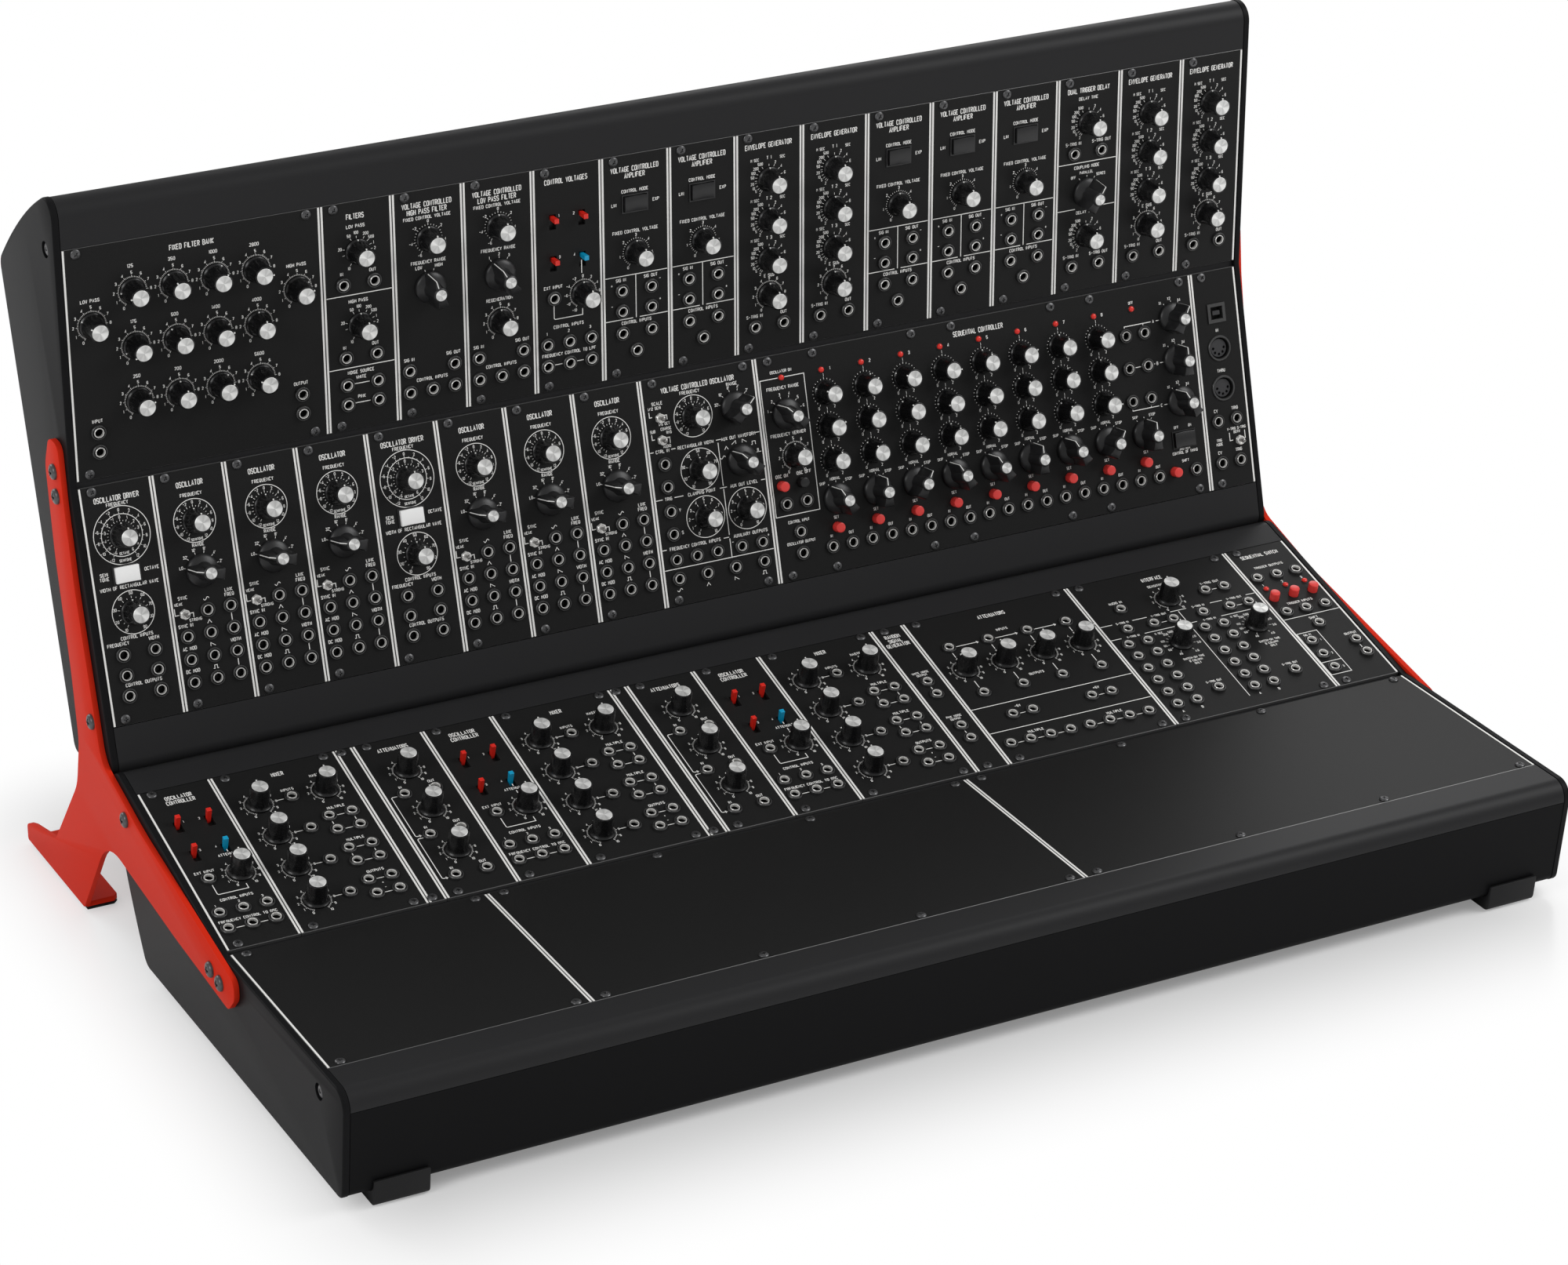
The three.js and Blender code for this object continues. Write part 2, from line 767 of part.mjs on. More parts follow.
const filterBankShares = {
  knob: [
    [0.098, 0.664],
    ...grid([0.26, 0.42, 0.58, 0.74], [0.781, 0.545, 0.308]),
    [0.9, 0.664],
  ],
};
const filterShares = {
  knob: grid(middleShares, [0.781, 0.459]),
};
const highPassShares = {
  knob: [[0.5, 0.783]],
  pointer: [[0.5, 0.57]],
};
const lowPassShares = {
  knob: grid(middleShares, [0.783, 0.361]),
  pointer: [[0.5, 0.57]],
};
const controllerShares = {
  slide: grid([0.283, 0.709], [0.774, 0.589]),
  knob: [[0.709, 0.419]],
};
const amplifierShares = {
  rocker: [[0.49, 0.781]],
  knob: [[0.5, 0.561]],
};
const envelopeShares = {
  knob: grid(middleShares, [0.781, 0.599, 0.419, 0.256]),
};
const delayShares = {
  knob: grid([0.503], [0.783, 0.257]),
  pointer: [[0.5, 0.458]],
};
const driverShares = {
  knob: grid(middleShares, [0.78, 0.458]),
  rocker: [[0.488, 0.619]],
};
const oscillatorShares = {
  knob: [[0.5, 0.781]],
  pointer: [[0.5, 0.572]],
  toggle: [[0.177, 0.405]],
};
const wideOscillatorShares = {
  knob: [
    [0.426, 0.806],
    [0.429, 0.572],
    [0.427, 0.362],
    [0.793, 0.362],
  ],
  pointer: grid([0.793], [0.809, 0.576]),
  toggle: [
    [0.14, 0.824],
    [0.135, 0.728],
  ],
};

const stepCount = 9;
const stepShare = 0.089;
const steps = (firstShare, count) =>
  Array.from({ length: count }, (_, index) => firstShare + index * stepShare);
const sequencerShares = {
  knob: [[0.065, 0.548], ...grid(steps(0.1466, stepCount - 1), [0.795, 0.647, 0.498])],
  pointer: [
    [0.057, 0.736],
    ...grid(steps(0.1466, stepCount), [0.324]),
    ...grid([0.949], [0.824, 0.632, 0.44]),
  ],
  button: [
    [0.028, 0.426],
    ...grid(steps(0.1385, stepCount), [0.198]),
    [0.072, 0.427],
    [0.918, 0.124],
  ],
  rocker: [[0.947, 0.266]],
};
const midiShares = {
  toggle: [[0.728, 0.208]],
  din: grid([0.49], [0.643, 0.459]),
  usb: [[0.5, 0.805]],
};
const mixerShares = {
  knob: [[0.77, 0.782], ...grid([0.236], [0.782, 0.576, 0.371, 0.164])],
};
const attenuatorShares = {
  knob: grid(middleShares, [0.786, 0.526, 0.261]),
};
const wideAttenuatorShares = {
  knob: grid([0.146, 0.383, 0.62, 0.857], [0.628]),
};
const interfaceShares = {
  knob: [
    [0.495, 0.784],
    [0.372, 0.493],
    [0.848, 0.494],
  ],
};
const switchShares = {
  button: grid(tripleShares, [0.636]),
};

// Each kind of module: its width in units and its controls
const kinds = {
  filterBank: { units: 28, shares: filterBankShares },
  filter: { units: 8, shares: filterShares },
  highPass: { units: 8, shares: highPassShares },
  lowPass: { units: 8, shares: lowPassShares },
  controller: { units: 8, shares: controllerShares },
  amplifier: { units: 8, shares: amplifierShares },
  envelope: { units: 8, shares: envelopeShares },
  delay: { units: 8, shares: delayShares },
  driver: { units: 8, shares: driverShares, finishes: { rocker: finishes.white } },
  oscillator: { units: 8, shares: oscillatorShares },
  wideOscillator: { units: 14, shares: wideOscillatorShares },
  sequencer: { units: 56, shares: sequencerShares },
  midi: { units: 6, shares: midiShares },
  mixer: { units: 14, shares: mixerShares },
  attenuator: { units: 8, shares: attenuatorShares },
  random: { units: 4, shares: {} },
  wideAttenuator: { units: 21, shares: wideAttenuatorShares },
  interface: { units: 21, shares: interfaceShares },
  switch: { units: 8, shares: switchShares },
  narrowBlank: { units: 2, shares: {}, bare: true },
  blank: { units: 28, shares: {}, bare: true },
  wideBlank: { units: 56, shares: {}, bare: true },
};

// The panels of each row from the left: a node, its modules and what moves on each
const upperRearRow = [
  ["filter_bank_module", [["filterBank", { knob: ["filter_bank_knob"] }]]],
  [
    "filter_and_control_modules",
    [
      ["filter"],
      ["highPass", { pointer: ["high_pass_range_switch"] }],
      ["lowPass", { knob: ["low_pass_cutoff_knob"] }],
      ["controller", { slide: ["voltage_slide_switch"] }],
    ],
  ],
  [
    "amplifier_and_envelope_modules",
    [
      ["amplifier", { rocker: ["amplifier_mode_rocker"], knob: ["amplifier_gain_knob"] }],
      ["amplifier"],
      ["envelope", { knob: ["envelope_attack_knob"] }],
      ["envelope"],
      ["amplifier"],
      ["amplifier"],
      ["amplifier"],
      ["delay", { pointer: ["delay_coupling_switch"] }],
      ["envelope"],
      ["envelope"],
    ],
  ],
];
const upperFrontRow = [
  [
    "oscillator_modules",
    [
      ["driver", { knob: ["driver_frequency_knob"], rocker: ["driver_range_rocker"] }],
      [
        "oscillator",
        {
          knob: ["oscillator_frequency_knob"],
          pointer: ["oscillator_range_switch"],
          toggle: ["oscillator_sync_toggle"],
        },
      ],
      ["oscillator"],
      ["oscillator"],
      ["driver"],
      ["oscillator"],
      ["oscillator"],
      ["oscillator"],
    ],
  ],
  ["wide_oscillator_module", [["wideOscillator", { knob: ["wide_oscillator_knob"] }]]],
  [
    "sequencer_module",
    [
      [
        "sequencer",
        {
          knob: ["sequencer_clock_knob"],
          pointer: ["sequencer_step_switch"],
          button: ["sequencer_start_button", "sequencer_set_button"],
          rocker: ["sequencer_timing_rocker"],
        },
      ],
    ],
  ],
  ["midi_module", [["midi"]]],
];
const lowerRearRow = [
  [
    "controller_and_mixer_modules",
    [
      ["controller"],
      ["mixer", { knob: ["mixer_master_knob"] }],
      ["narrowBlank"],
      ["attenuator"],
      ["controller"],
      ["mixer"],
      ["narrowBlank"],
      ["attenuator"],
      ["controller"],
      ["mixer"],
      ["random"],
    ],
  ],
  ["wide_attenuator_module", [["wideAttenuator", { knob: ["attenuator_knob"] }]]],
  ["interface_module", [["interface"]]],
  ["sequential_switch_module", [["switch", { button: ["switch_select_button"] }]]],
];
const lowerFrontRow = [
  ["left_blank_panel", [["blank"]]],
  ["middle_blank_panel", [["wideBlank"]]],
  ["right_blank_panel", [["wideBlank"]]],
];

// Sockets that go in behind the panel: a cup with its mouth in the panel's face
function cupSolids(x, y, cupOf) {
  const outside = cupOf(x, y, socketWall, -sunk, -socketDepth - socketWall);
  const inside = cupOf(x, y, 0, overrun, -socketDepth);
  return { outside, inside };
}

const cupShapes = {
  din: (x, y, grow, high, low) =>
    stubSolid(x, y, low, high, dinRadius + grow, dinRadius + grow, socketSides),
  usb: (x, y, grow, high, low) => {
    const halfX = usbWidth / 2 + grow;
    const halfY = usbHeight / 2 + grow;
    return boxSolid(x - halfX, y - halfY, low, x + halfX, y + halfY, high);
  },
};

// A module's circuit board hangs behind its panel from the row of socket bodies at the foot
function boardSolids(fromX, width) {
  const lowX = fromX + grooveWidth + clearance;
  const highX = fromX + width - grooveWidth - clearance;
  const low = -boardDepth - boardThickness;
  const back = -boardDepth - boardThickness / 2;
  const lowY = socketRowShare * panelHeight - socketRowHeight / 2;
  return [
    boxSolid(lowX, lowY, low, highX, panelHeight - boardMargin, -boardDepth),
    boxSolid(lowX, lowY, back, highX, lowY + socketRowHeight, -sunk),
  ];
}

// How far each moving pointer stands turned at rest, counter-clockwise from straight up
const pointerRests = {
  high_pass_range_switch: degrees(15),
  delay_coupling_switch: degrees(-30),
  oscillator_range_switch: degrees(75),
  sequencer_step_switch: degrees(45),
};

// One panel node of a row, with the moving controls that stand on it
function addPanel(row, name, modules, fromX) {
  const units = modules.reduce((sum, [kind]) => sum + kinds[kind].units, 0);
  const halfGap = clearance / 2;
  const toX = fromX + units * slotPitch;
  const plate = boxSolid(
    fromX + halfGap,
    0,
    -panelThickness,
    toX - halfGap,
    panelHeight,
    0,
  );
  const added = [plate];
  const holes = [];
  let x = fromX;
  for (const [kind, moving = {}] of modules) {
    const width = kinds[kind].units * slotPitch;
    for (const [control, places] of Object.entries(kinds[kind].shares)) {
      places.forEach(([across, rise], index) => {
        const atX = x + across * width;
        const atY = rise * panelHeight;
        const movingName = (moving[control] ?? [])[index];
        if (cupShapes[control]) {
          const { outside, inside } = cupSolids(atX, atY, cupShapes[control]);
          added.push(outside);
          holes.push(inside);
        } else if (movingName) {
          if (control === "toggle") added.push(toggleNut(atX, atY));
          holes.push(holeShapes[control](atX, atY));
          const finishOf = { ...movingFinishes, ...kinds[kind].finishes }[control];
          const mesh = toMesh(movingName, movingShapes[control](), finishOf());
          mesh.position.set(atX, atY, 0);
          mesh.rotation.z = pointerRests[movingName] ?? 0;
          row.add(mesh);
        } else {
          added.push(fixedShapes[control](atX, atY));
        }
      });
    }
    if (!kinds[kind].bare) added.push(...boardSolids(x, width));
    if (x > fromX) {
      const halfGroove = grooveWidth / 2;
      const lowY = -overrun;
      const highY = panelHeight + overrun;
      holes.push(boxSolid(x - halfGroove, lowY, -grooveDepth, x + halfGroove, highY, overrun));
    }
    x += width;
  }
  row.add(toMesh(name, cut(joined(added), holes), finishes.panel()));
  return toX;
}

function addRow(caseGroup, panels, at, bend) {
  const row = new THREE.Group();
  row.position.set(-halfRow, at.x, at.y);
  row.rotation.x = bend;
  let x = 0;
  for (const [name, modules] of panels) x = addPanel(row, name, modules, x);
  caseGroup.add(row);
}

// One case in its own frame, with both its rows of panels
function makeCase(prefix, frontPanels, rearPanels) {
  const group = new THREE.Group();
  const addSheet = (name, solid, material) => group.add(toMesh(prefix + name, solid, material));
  const tub = sideSolid(tubOutline(), -halfRow, halfRow).subtract(inletWindow());
  addSheet("_tub", tub, finishes.sheet());
  addSheet("_left_cheek", cheekSolid(-1), finishes.sheet());
  addSheet("_right_cheek", cheekSolid(1), finishes.sheet());
  addSheet("_front_rail", sideSolid(frontRailOutline(), -halfRow, halfRow), finishes.rail());
  addSheet("_middle_rail", sideSolid(middleRailOutline(), -halfRow, halfRow), finishes.rail());
  addSheet("_rear_rail", sideSolid(rearRailOutline(), -halfRow, halfRow), finishes.rail());
  addSheet("_bus_board", busSolid(), finishes.board());
  addRow(group, frontPanels, new THREE.Vector2(), 0);
  addRow(group, rearPanels, rearRowAt, rowBend);

  const inlet = new THREE.Group();
  inlet.applyMatrix4(inletFrame);
  inlet.add(toMesh(prefix + "_power_inlet", inletSolid(), finishes.black()));
  const powerSwitch = toMesh(prefix + "_power_switch", rockerSolid(), finishes.red());
  powerSwitch.position.set(powerRockerAt, 0, inletFace);
  powerSwitch.rotation.z = up;
  inlet.add(powerSwitch);
  group.add(inlet);
  return group;
}

// Assembly: the lower case lies on its feet, the upper case stands behind its rear edge
const synthesizer = new THREE.Group();
synthesizer.name = "modular_synthesizer";
const lowerCase = makeCase("lower", lowerFrontRow, lowerRearRow);
lowerCase.position.set(0, 0, lowerZ);
const upperCase = makeCase("upper", upperFrontRow, upperRearRow);
const seat = new THREE.Vector2(upperSeatBack, upperSeatRise).add(rearArcAt);
upperCase.position.set(0, seat.x, lowerZ + seat.y);
upperCase.rotation.x = upperTilt;
synthesizer.add(lowerCase, upperCase);

for (const [side, name] of [[-1, "left"], [1, "right"]]) {
  synthesizer.add(toMesh(name + "_stand_bracket", bracketSolid(side), finishes.bracket()));
  const pad = flangeSolid(side, 0, padThickness - clearance);
  synthesizer.add(toMesh(name + "_bracket_pad", pad, finishes.rubber()));
  synthesizer.add(toMesh("front_foot_" + name, footSolid(side), finishes.rubber()));
}

// The origin goes to the table under the middle of the whole
synthesizer.updateMatrixWorld(true);
const bounds = new THREE.Box3().setFromObject(synthesizer, true);
const middle = bounds.getCenter(new THREE.Vector3());
for (const child of synthesizer.children) {
  child.position.sub(new THREE.Vector3(middle.x, middle.y, bounds.min.z));
}

export default synthesizer;
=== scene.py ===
import math

import bmesh
import bpy
import numpy as np
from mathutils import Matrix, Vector
from mathutils.geometry import delaunay_2d_cdt


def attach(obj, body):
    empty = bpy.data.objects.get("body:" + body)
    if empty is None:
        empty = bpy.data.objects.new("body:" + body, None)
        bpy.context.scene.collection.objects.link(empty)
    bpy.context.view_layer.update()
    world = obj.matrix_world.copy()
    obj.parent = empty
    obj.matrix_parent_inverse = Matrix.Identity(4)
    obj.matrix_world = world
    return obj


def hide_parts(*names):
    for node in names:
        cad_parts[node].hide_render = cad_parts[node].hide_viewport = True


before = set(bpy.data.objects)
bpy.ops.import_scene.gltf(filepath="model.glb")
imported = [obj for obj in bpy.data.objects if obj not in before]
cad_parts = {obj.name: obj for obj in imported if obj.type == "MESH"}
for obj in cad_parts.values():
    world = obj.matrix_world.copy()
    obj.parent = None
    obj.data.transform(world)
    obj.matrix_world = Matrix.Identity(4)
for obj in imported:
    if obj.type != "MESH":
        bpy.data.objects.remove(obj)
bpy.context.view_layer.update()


# The camera stands to the left of the synthesizer and above it, with a long lens, where the
# picture was taken from: its place was solved from points whose real places are known.
lens = bpy.data.cameras.new("camera")
lens.lens = 110.634
lens.sensor_width = 36
camera = bpy.data.objects.new("camera", lens)
camera.location = (-1.093015, -2.101095, 1.242671)
camera_turns = (65.12156, 0.10313, -27.46834)
camera.rotation_euler = [math.radians(turn) for turn in camera_turns]
bpy.context.scene.collection.objects.link(camera)
bpy.context.scene.camera = camera
bpy.context.scene.view_settings.view_transform = "Standard"


# The room is a plain white studio that gives even light from all round. It is seen white, and a
# little dimmer in the shine of the pieces.
room_white = (1, 1, 1, 1)
room_fill = 0.52
room_shine = 0.42
room = bpy.data.worlds.new("studio")
room.use_nodes = True
bpy.context.scene.world = room
room_nodes, room_links = room.node_tree.nodes, room.node_tree.links
room_out = room_nodes["World Output"]
fill_light = room_nodes["Background"]
fill_light.inputs["Color"].default_value = room_white
fill_light.inputs["Strength"].default_value = room_fill
shine_light = room_nodes.new("ShaderNodeBackground")
shine_light.inputs["Color"].default_value = room_white
shine_light.inputs["Strength"].default_value = room_shine
seen_light = room_nodes.new("ShaderNodeBackground")
seen_light.inputs["Color"].default_value = room_white
light_path = room_nodes.new("ShaderNodeLightPath")
fill_or_shine = room_nodes.new("ShaderNodeMixShader")
lit_or_seen = room_nodes.new("ShaderNodeMixShader")
room_links.new(light_path.outputs["Is Glossy Ray"], fill_or_shine.inputs["Fac"])
room_links.new(fill_light.outputs[0], fill_or_shine.inputs[1])
room_links.new(shine_light.outputs[0], fill_or_shine.inputs[2])
room_links.new(light_path.outputs["Is Camera Ray"], lit_or_seen.inputs["Fac"])
room_links.new(fill_or_shine.outputs[0], lit_or_seen.inputs[1])
room_links.new(seen_light.outputs[0], lit_or_seen.inputs[2])
room_links.new(lit_or_seen.outputs[0], room_out.inputs["Surface"])


# Four soft boxes on stands light the object: the key high on the right, a weaker one on the
# left, and two behind it that draw its edges and throw its shadow forwards.
lamp_aim = Vector((0, 0, 0.2))
for lamp_name, lamp_at, lamp_wide, lamp_watts in (
    ("key_box", (1.7, -1.0, 1.75), 1.3, 25),
    ("side_box", (-2.4, -0.9, 1.6), 1.1, 17),
    ("back_box", (1.6, 1.9, 1.7), 1.5, 12),
    ("edge_box", (-1.2, 2.3, 1.4), 1.2, 14),
):
    lamp = bpy.data.lights.new(lamp_name, "AREA")
    lamp.energy = lamp_watts
    lamp.size = lamp_wide
    stand = bpy.data.objects.new(lamp_name, lamp)
    stand.location = lamp_at
    stand.rotation_euler = (lamp_aim - Vector(lamp_at)).to_track_quat("-Z", "Y").to_euler()
    bpy.context.scene.collection.objects.link(stand)


# The floor is one pale sheet, slightly glossy, so that it carries a soft reflection and the
# shadow of the cases. Away from the object it runs out into the white of the room.
floor_reach = 9.0
floor_drop = 0.0003
floor_sides = 96
floor_tone = (0.93, 0.93, 0.93, 1)
floor_roughness = 0.22
floor_gloss = 0.45
shadow_reach = (0.315, 0.225, 0)
fade_start = -0.01
fade_end = 0.11
least_white = 0.2
floor_mesh = bpy.data.meshes.new("studio_floor")
floor_turns = [2 * math.pi * step / floor_sides for step in range(floor_sides)]
floor_mesh.from_pydata(
    [(floor_reach * math.cos(t), floor_reach * math.sin(t), -floor_drop) for t in floor_turns],
    [],
    [tuple(range(floor_sides))],
)
floor = bpy.data.objects.new("studio_floor", floor_mesh)
bpy.context.scene.collection.objects.link(floor)
pale_floor = bpy.data.materials.new("pale_floor")
pale_floor.use_nodes = True
floor_nodes, floor_links = pale_floor.node_tree.nodes, pale_floor.node_tree.links
floor_coat = floor_nodes["Principled BSDF"]
floor_coat.inputs["Base Color"].default_value = floor_tone
floor_coat.inputs["Roughness"].default_value = floor_roughness
floor_coat.inputs["Specular IOR Level"].default_value = floor_gloss
floor_place = floor_nodes.new("ShaderNodeTexCoord")
floor_sums = []
for how in ("ABSOLUTE", "SUBTRACT", "MAXIMUM", "LENGTH"):
    floor_sums.append(floor_nodes.new("ShaderNodeVectorMath"))
    floor_sums[-1].operation = how
floor_fold, floor_past_edge, floor_outside, floor_away = floor_sums
floor_past_edge.inputs[1].default_value = shadow_reach
floor_fade = floor_nodes.new("ShaderNodeMapRange")
floor_fade.interpolation_type = "SMOOTHSTEP"
floor_fade.inputs["From Min"].default_value = fade_start
floor_fade.inputs["From Max"].default_value = fade_end
floor_fade.inputs["To Min"].default_value = least_white
floor_path = floor_nodes.new("ShaderNodeLightPath")
floor_seen = floor_nodes.new("ShaderNodeMath")
floor_seen.operation = "MULTIPLY"
floor_white = floor_nodes.new("ShaderNodeEmission")
floor_mix = floor_nodes.new("ShaderNodeMixShader")
floor_links.new(floor_place.outputs["Object"], floor_fold.inputs[0])
floor_links.new(floor_fold.outputs[0], floor_past_edge.inputs[0])
floor_links.new(floor_past_edge.outputs[0], floor_outside.inputs[0])
floor_links.new(floor_outside.outputs[0], floor_away.inputs[0])
floor_links.new(floor_away.outputs["Value"], floor_fade.inputs["Value"])
floor_links.new(floor_fade.outputs["Result"], floor_seen.inputs[0])
floor_links.new(floor_path.outputs["Is Camera Ray"], floor_seen.inputs[1])
floor_links.new(floor_seen.outputs[0], floor_mix.inputs["Fac"])
floor_links.new(floor_coat.outputs[0], floor_mix.inputs[1])
floor_links.new(floor_white.outputs[0], floor_mix.inputs[2])
floor_links.new(floor_mix.outputs[0], floor_nodes["Material Output"].inputs["Surface"])
floor_mesh.materials.append(pale_floor)


# Two alike cases, each a tub of 1.5 mm steel sheet folded into front wall, floor and curved
# back, in a fine satin black powder coat. The lower one lies, the upper one stands on its nose.
mm = 0.001


def as_seen(red, green, blue):
    """A colour as it looks, 0 to 255, in the renderer's own scale."""
    return [((part / 255 + 0.055) / 1.055) ** 2.4 for part in (red, green, blue)] + [1]


def finish(name, colour, roughness, metal=0.0, gloss=0.5, grain=0.5, shade=0.12, pits=0.0):
    """A finish whose tone and gloss vary a little over grains of a size in millimetres."""
    made = bpy.data.materials.new(name)
    made.use_nodes = True
    nodes, links = made.node_tree.nodes, made.node_tree.links
    coat = nodes["Principled BSDF"]
    coat.inputs["Metallic"].default_value = metal
    coat.inputs["Specular IOR Level"].default_value = gloss
    place = nodes.new("ShaderNodeTexCoord")
    size = nodes.new("ShaderNodeMapping")
    size.inputs["Scale"].default_value = [1 / (grain * mm)] * 3
    speck = nodes.new("ShaderNodeTexNoise")
    speck.inputs["Scale"].default_value = 1
    speck.inputs["Detail"].default_value = 3
    tone = nodes.new("ShaderNodeMixRGB")
    tone.inputs["Color1"].default_value = [part * (1 - shade) for part in colour[:3]] + [1]
    tone.inputs["Color2"].default_value = [min(part * (1 + shade), 1) for part in colour[:3]] + [1]
    dull = nodes.new("ShaderNodeMapRange")
    dull.inputs["To Min"].default_value = roughness * (1 - shade)
    dull.inputs["To Max"].default_value = roughness * (1 + shade)
    links.new(place.outputs["Object"], size.inputs["Vector"])
    links.new(size.outputs["Vector"], speck.inputs["Vector"])
    links.new(speck.outputs["Fac"], tone.inputs["Fac"])
    links.new(speck.outputs["Fac"], dull.inputs["Value"])
    links.new(tone.outputs["Color"], coat.inputs["Base Color"])
    links.new(dull.outputs["Result"], coat.inputs["Roughness"])
    if pits:
        relief = nodes.new("ShaderNodeBump")
        relief.inputs["Strength"].default_value = pits
        relief.inputs["Distance"].default_value = grain * mm
        links.new(speck.outputs["Fac"], relief.inputs["Height"])
        links.new(relief.outputs["Normal"], coat.inputs["Normal"])
    return made


def piece(name, parts, finishes, body="cases", crease=32, replaces=()):
    """One piece from closed skins in mm: points, faces and the number of a finish, or one a face."""
    faces, numbers, start = [], [], 0
    for part in parts:
        faces += [tuple(corner + start for corner in face) for face in part[1]]
        look = part[2] if len(part) > 2 else 0
        numbers += look if isinstance(look, list) else [look] * len(part[1])
        start += len(part[0])
    mesh = bpy.data.meshes.new(name)
    mesh.from_pydata((np.vstack([part[0] for part in parts]) * mm).tolist(), [], faces)
    mesh.polygons.foreach_set("material_index", numbers)
    for each in finishes:
        mesh.materials.append(each)
    mesh.shade_smooth()
    mesh.set_sharp_from_angle(angle=math.radians(crease))
    made = bpy.data.objects.new(name, mesh)
    bpy.context.scene.collection.objects.link(made)
    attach(made, body)
    if replaces:
        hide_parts(*replaces)
    return made


def skin(rings, closed=False):
    """A closed skin over rings of equally many points, each counter-clockwise about the way."""
    count, last = len(rings[0]), len(rings)
    faces = []
    for ring in range(last if closed else last - 1):
        low, high = ring * count, (ring + 1) % last * count
        for step in range(count):
            after = (step + 1) % count
            faces.append((low + step, low + after, high + after, high + step))
    if not closed:
        faces.append(tuple(reversed(range(count))))
        faces.append(tuple(range((last - 1) * count, last * count)))
    return np.vstack(rings), faces


def arc(middle, radius, first, last, step=5):
    """Points on an arc, in degrees, both ends included."""
    steps = max(1, round(abs(last - first) / step))
    turns = np.radians(np.linspace(first, last, steps + 1))
    return np.column_stack((middle[0] + radius * np.cos(turns), middle[1] + radius * np.sin(turns)))


def leaned(points, degrees):
    """Points of a side view turned about its origin."""
    c, s = math.cos(math.radians(degrees)), math.sin(math.radians(degrees))
    points = np.asarray(points, float)
    return np.column_stack((points[:, 0] * c - points[:, 1] * s, points[:, 0] * s + points[:, 1] * c))


seats = {"lower": ((-198.792, 70.0), 0.0), "upper": ((87.804, 129.499), 75.3)}
panel_height = 128.5
bend = 14.9
rear_row_at = np.array((132.1, 0.6))
front_arc_back = 18.4
rear_arc_past = 15.6
floor_short = 31.93
case_depth = 62.5
clearance = 0.3
sheet_thickness = 1.5
half_row = 355.6
front_radius = 9.5
rear_radius = 10
front_corner = 6
rear_corner = 9
front_lean = 7.5
back_top_lean = 12.5
back_foot_lean = 29
back_curve_reach = 42
back_steps = 16


def rear_point(along, out):
    """A place on the case's rear row, in the case's own side view."""
    return leaned([(along, out)], bend)[0] + rear_row_at


bend_at = rear_row_at[0] - rear_row_at[1] / math.tan(math.radians(bend))
front_arc = np.array((-front_arc_back, -front_radius))
rear_arc = rear_point(panel_height + rear_arc_past, -rear_radius)
floor_rear_arc = rear_arc * (1, 0) + (-floor_short, rear_corner - case_depth)
front_wall_turn = front_lean - 180
front_wall_top = arc(front_arc, front_radius, front_wall_turn, front_wall_turn)[0]
front_wall_drop = front_wall_top[1] + case_depth - front_corner
floor_front_arc = np.array((
    front_wall_top[0]
    + front_wall_drop * math.tan(math.radians(front_lean))
    + front_corner / math.cos(math.radians(front_lean)),
    front_corner - case_depth,
))


def wall_line(grow):
    """The sheet's line from the front seam, under the floor and up the curved back."""
    foot = arc(floor_rear_arc, rear_corner + grow, -90, -back_foot_lean)
    top = arc(rear_arc, rear_radius + grow, -back_top_lean, -back_top_lean)[0]
    lean = math.radians(back_top_lean)
    pull = top - back_curve_reach * np.array((math.sin(lean), math.cos(lean)))
    share = np.linspace(0, 1, back_steps + 1)[1:, None]
    back = foot[-1] * (1 - share) ** 2 + pull * 2 * share * (1 - share) + top * share**2
    return np.vstack((
        arc(front_arc, front_radius + grow, front_wall_turn, front_wall_turn)[:1],
        arc(floor_front_arc, front_corner + grow, front_wall_turn, -90),
        foot,
        back,
    ))


def along_case(case, stops):
    """Side views drawn out along a case; each stop is its place across and its outline."""
    (seat_y, seat_z), tilt = seats[case]
    rings = []
    for across, line in stops:
        seated = leaned(line, tilt) + (seat_y, seat_z)
        rings.append(np.column_stack((np.full(len(seated), across), seated)))
    return skin(rings)


powder_black = finish(
    "powder_black", as_seen(20, 20, 21), 0.5, gloss=0.06, grain=0.35, shade=0.25, pits=0.12,
)
tub_outer, tub_inner = wall_line(0), wall_line(-sheet_thickness)
for line in (tub_outer, tub_inner):
    line[0, 1] -= clearance
    line[-1, 1] -= clearance
tub_line = np.vstack((tub_outer, tub_inner[::-1]))
for case in seats:
    tub = along_case(case, [(-half_row, tub_line), (half_row, tub_line)])
    piece(case + "_tub_sheet", [tub], [powder_black], replaces=[case + "_tub"])


# Extruded rails close the tub: the front one rounds the nose, the middle one follows the bend
# between the rows, the rear one rounds the back edge. All carry the panels' ends; same coat, its
# black painted lighter than the tub's as painted light for where the rails catch the lamps.
panel_seat = 2.3
rail_bar_depth = 8
rail_bar_width = 9
rail_thickness = 2
rail_foot = -panel_seat - rail_bar_depth
rail_shoulder = -clearance - rail_thickness
front_rail_line = np.vstack((
    [(-clearance, 0)],
    arc(front_arc, front_radius, 90, 180 + front_lean),
    arc(front_arc, front_radius - rail_thickness, 180 + front_lean, 90),
    [
        (rail_shoulder, -rail_thickness),
        (rail_shoulder, rail_foot),
        (rail_bar_width, rail_foot),
        (rail_bar_width, -panel_seat),
        (-clearance, -panel_seat),
    ],
))


def crease_at(height):
    """Where the middle rail bends, at a height."""
    return (bend_at - height * math.tan(math.radians(bend / 2)), height)


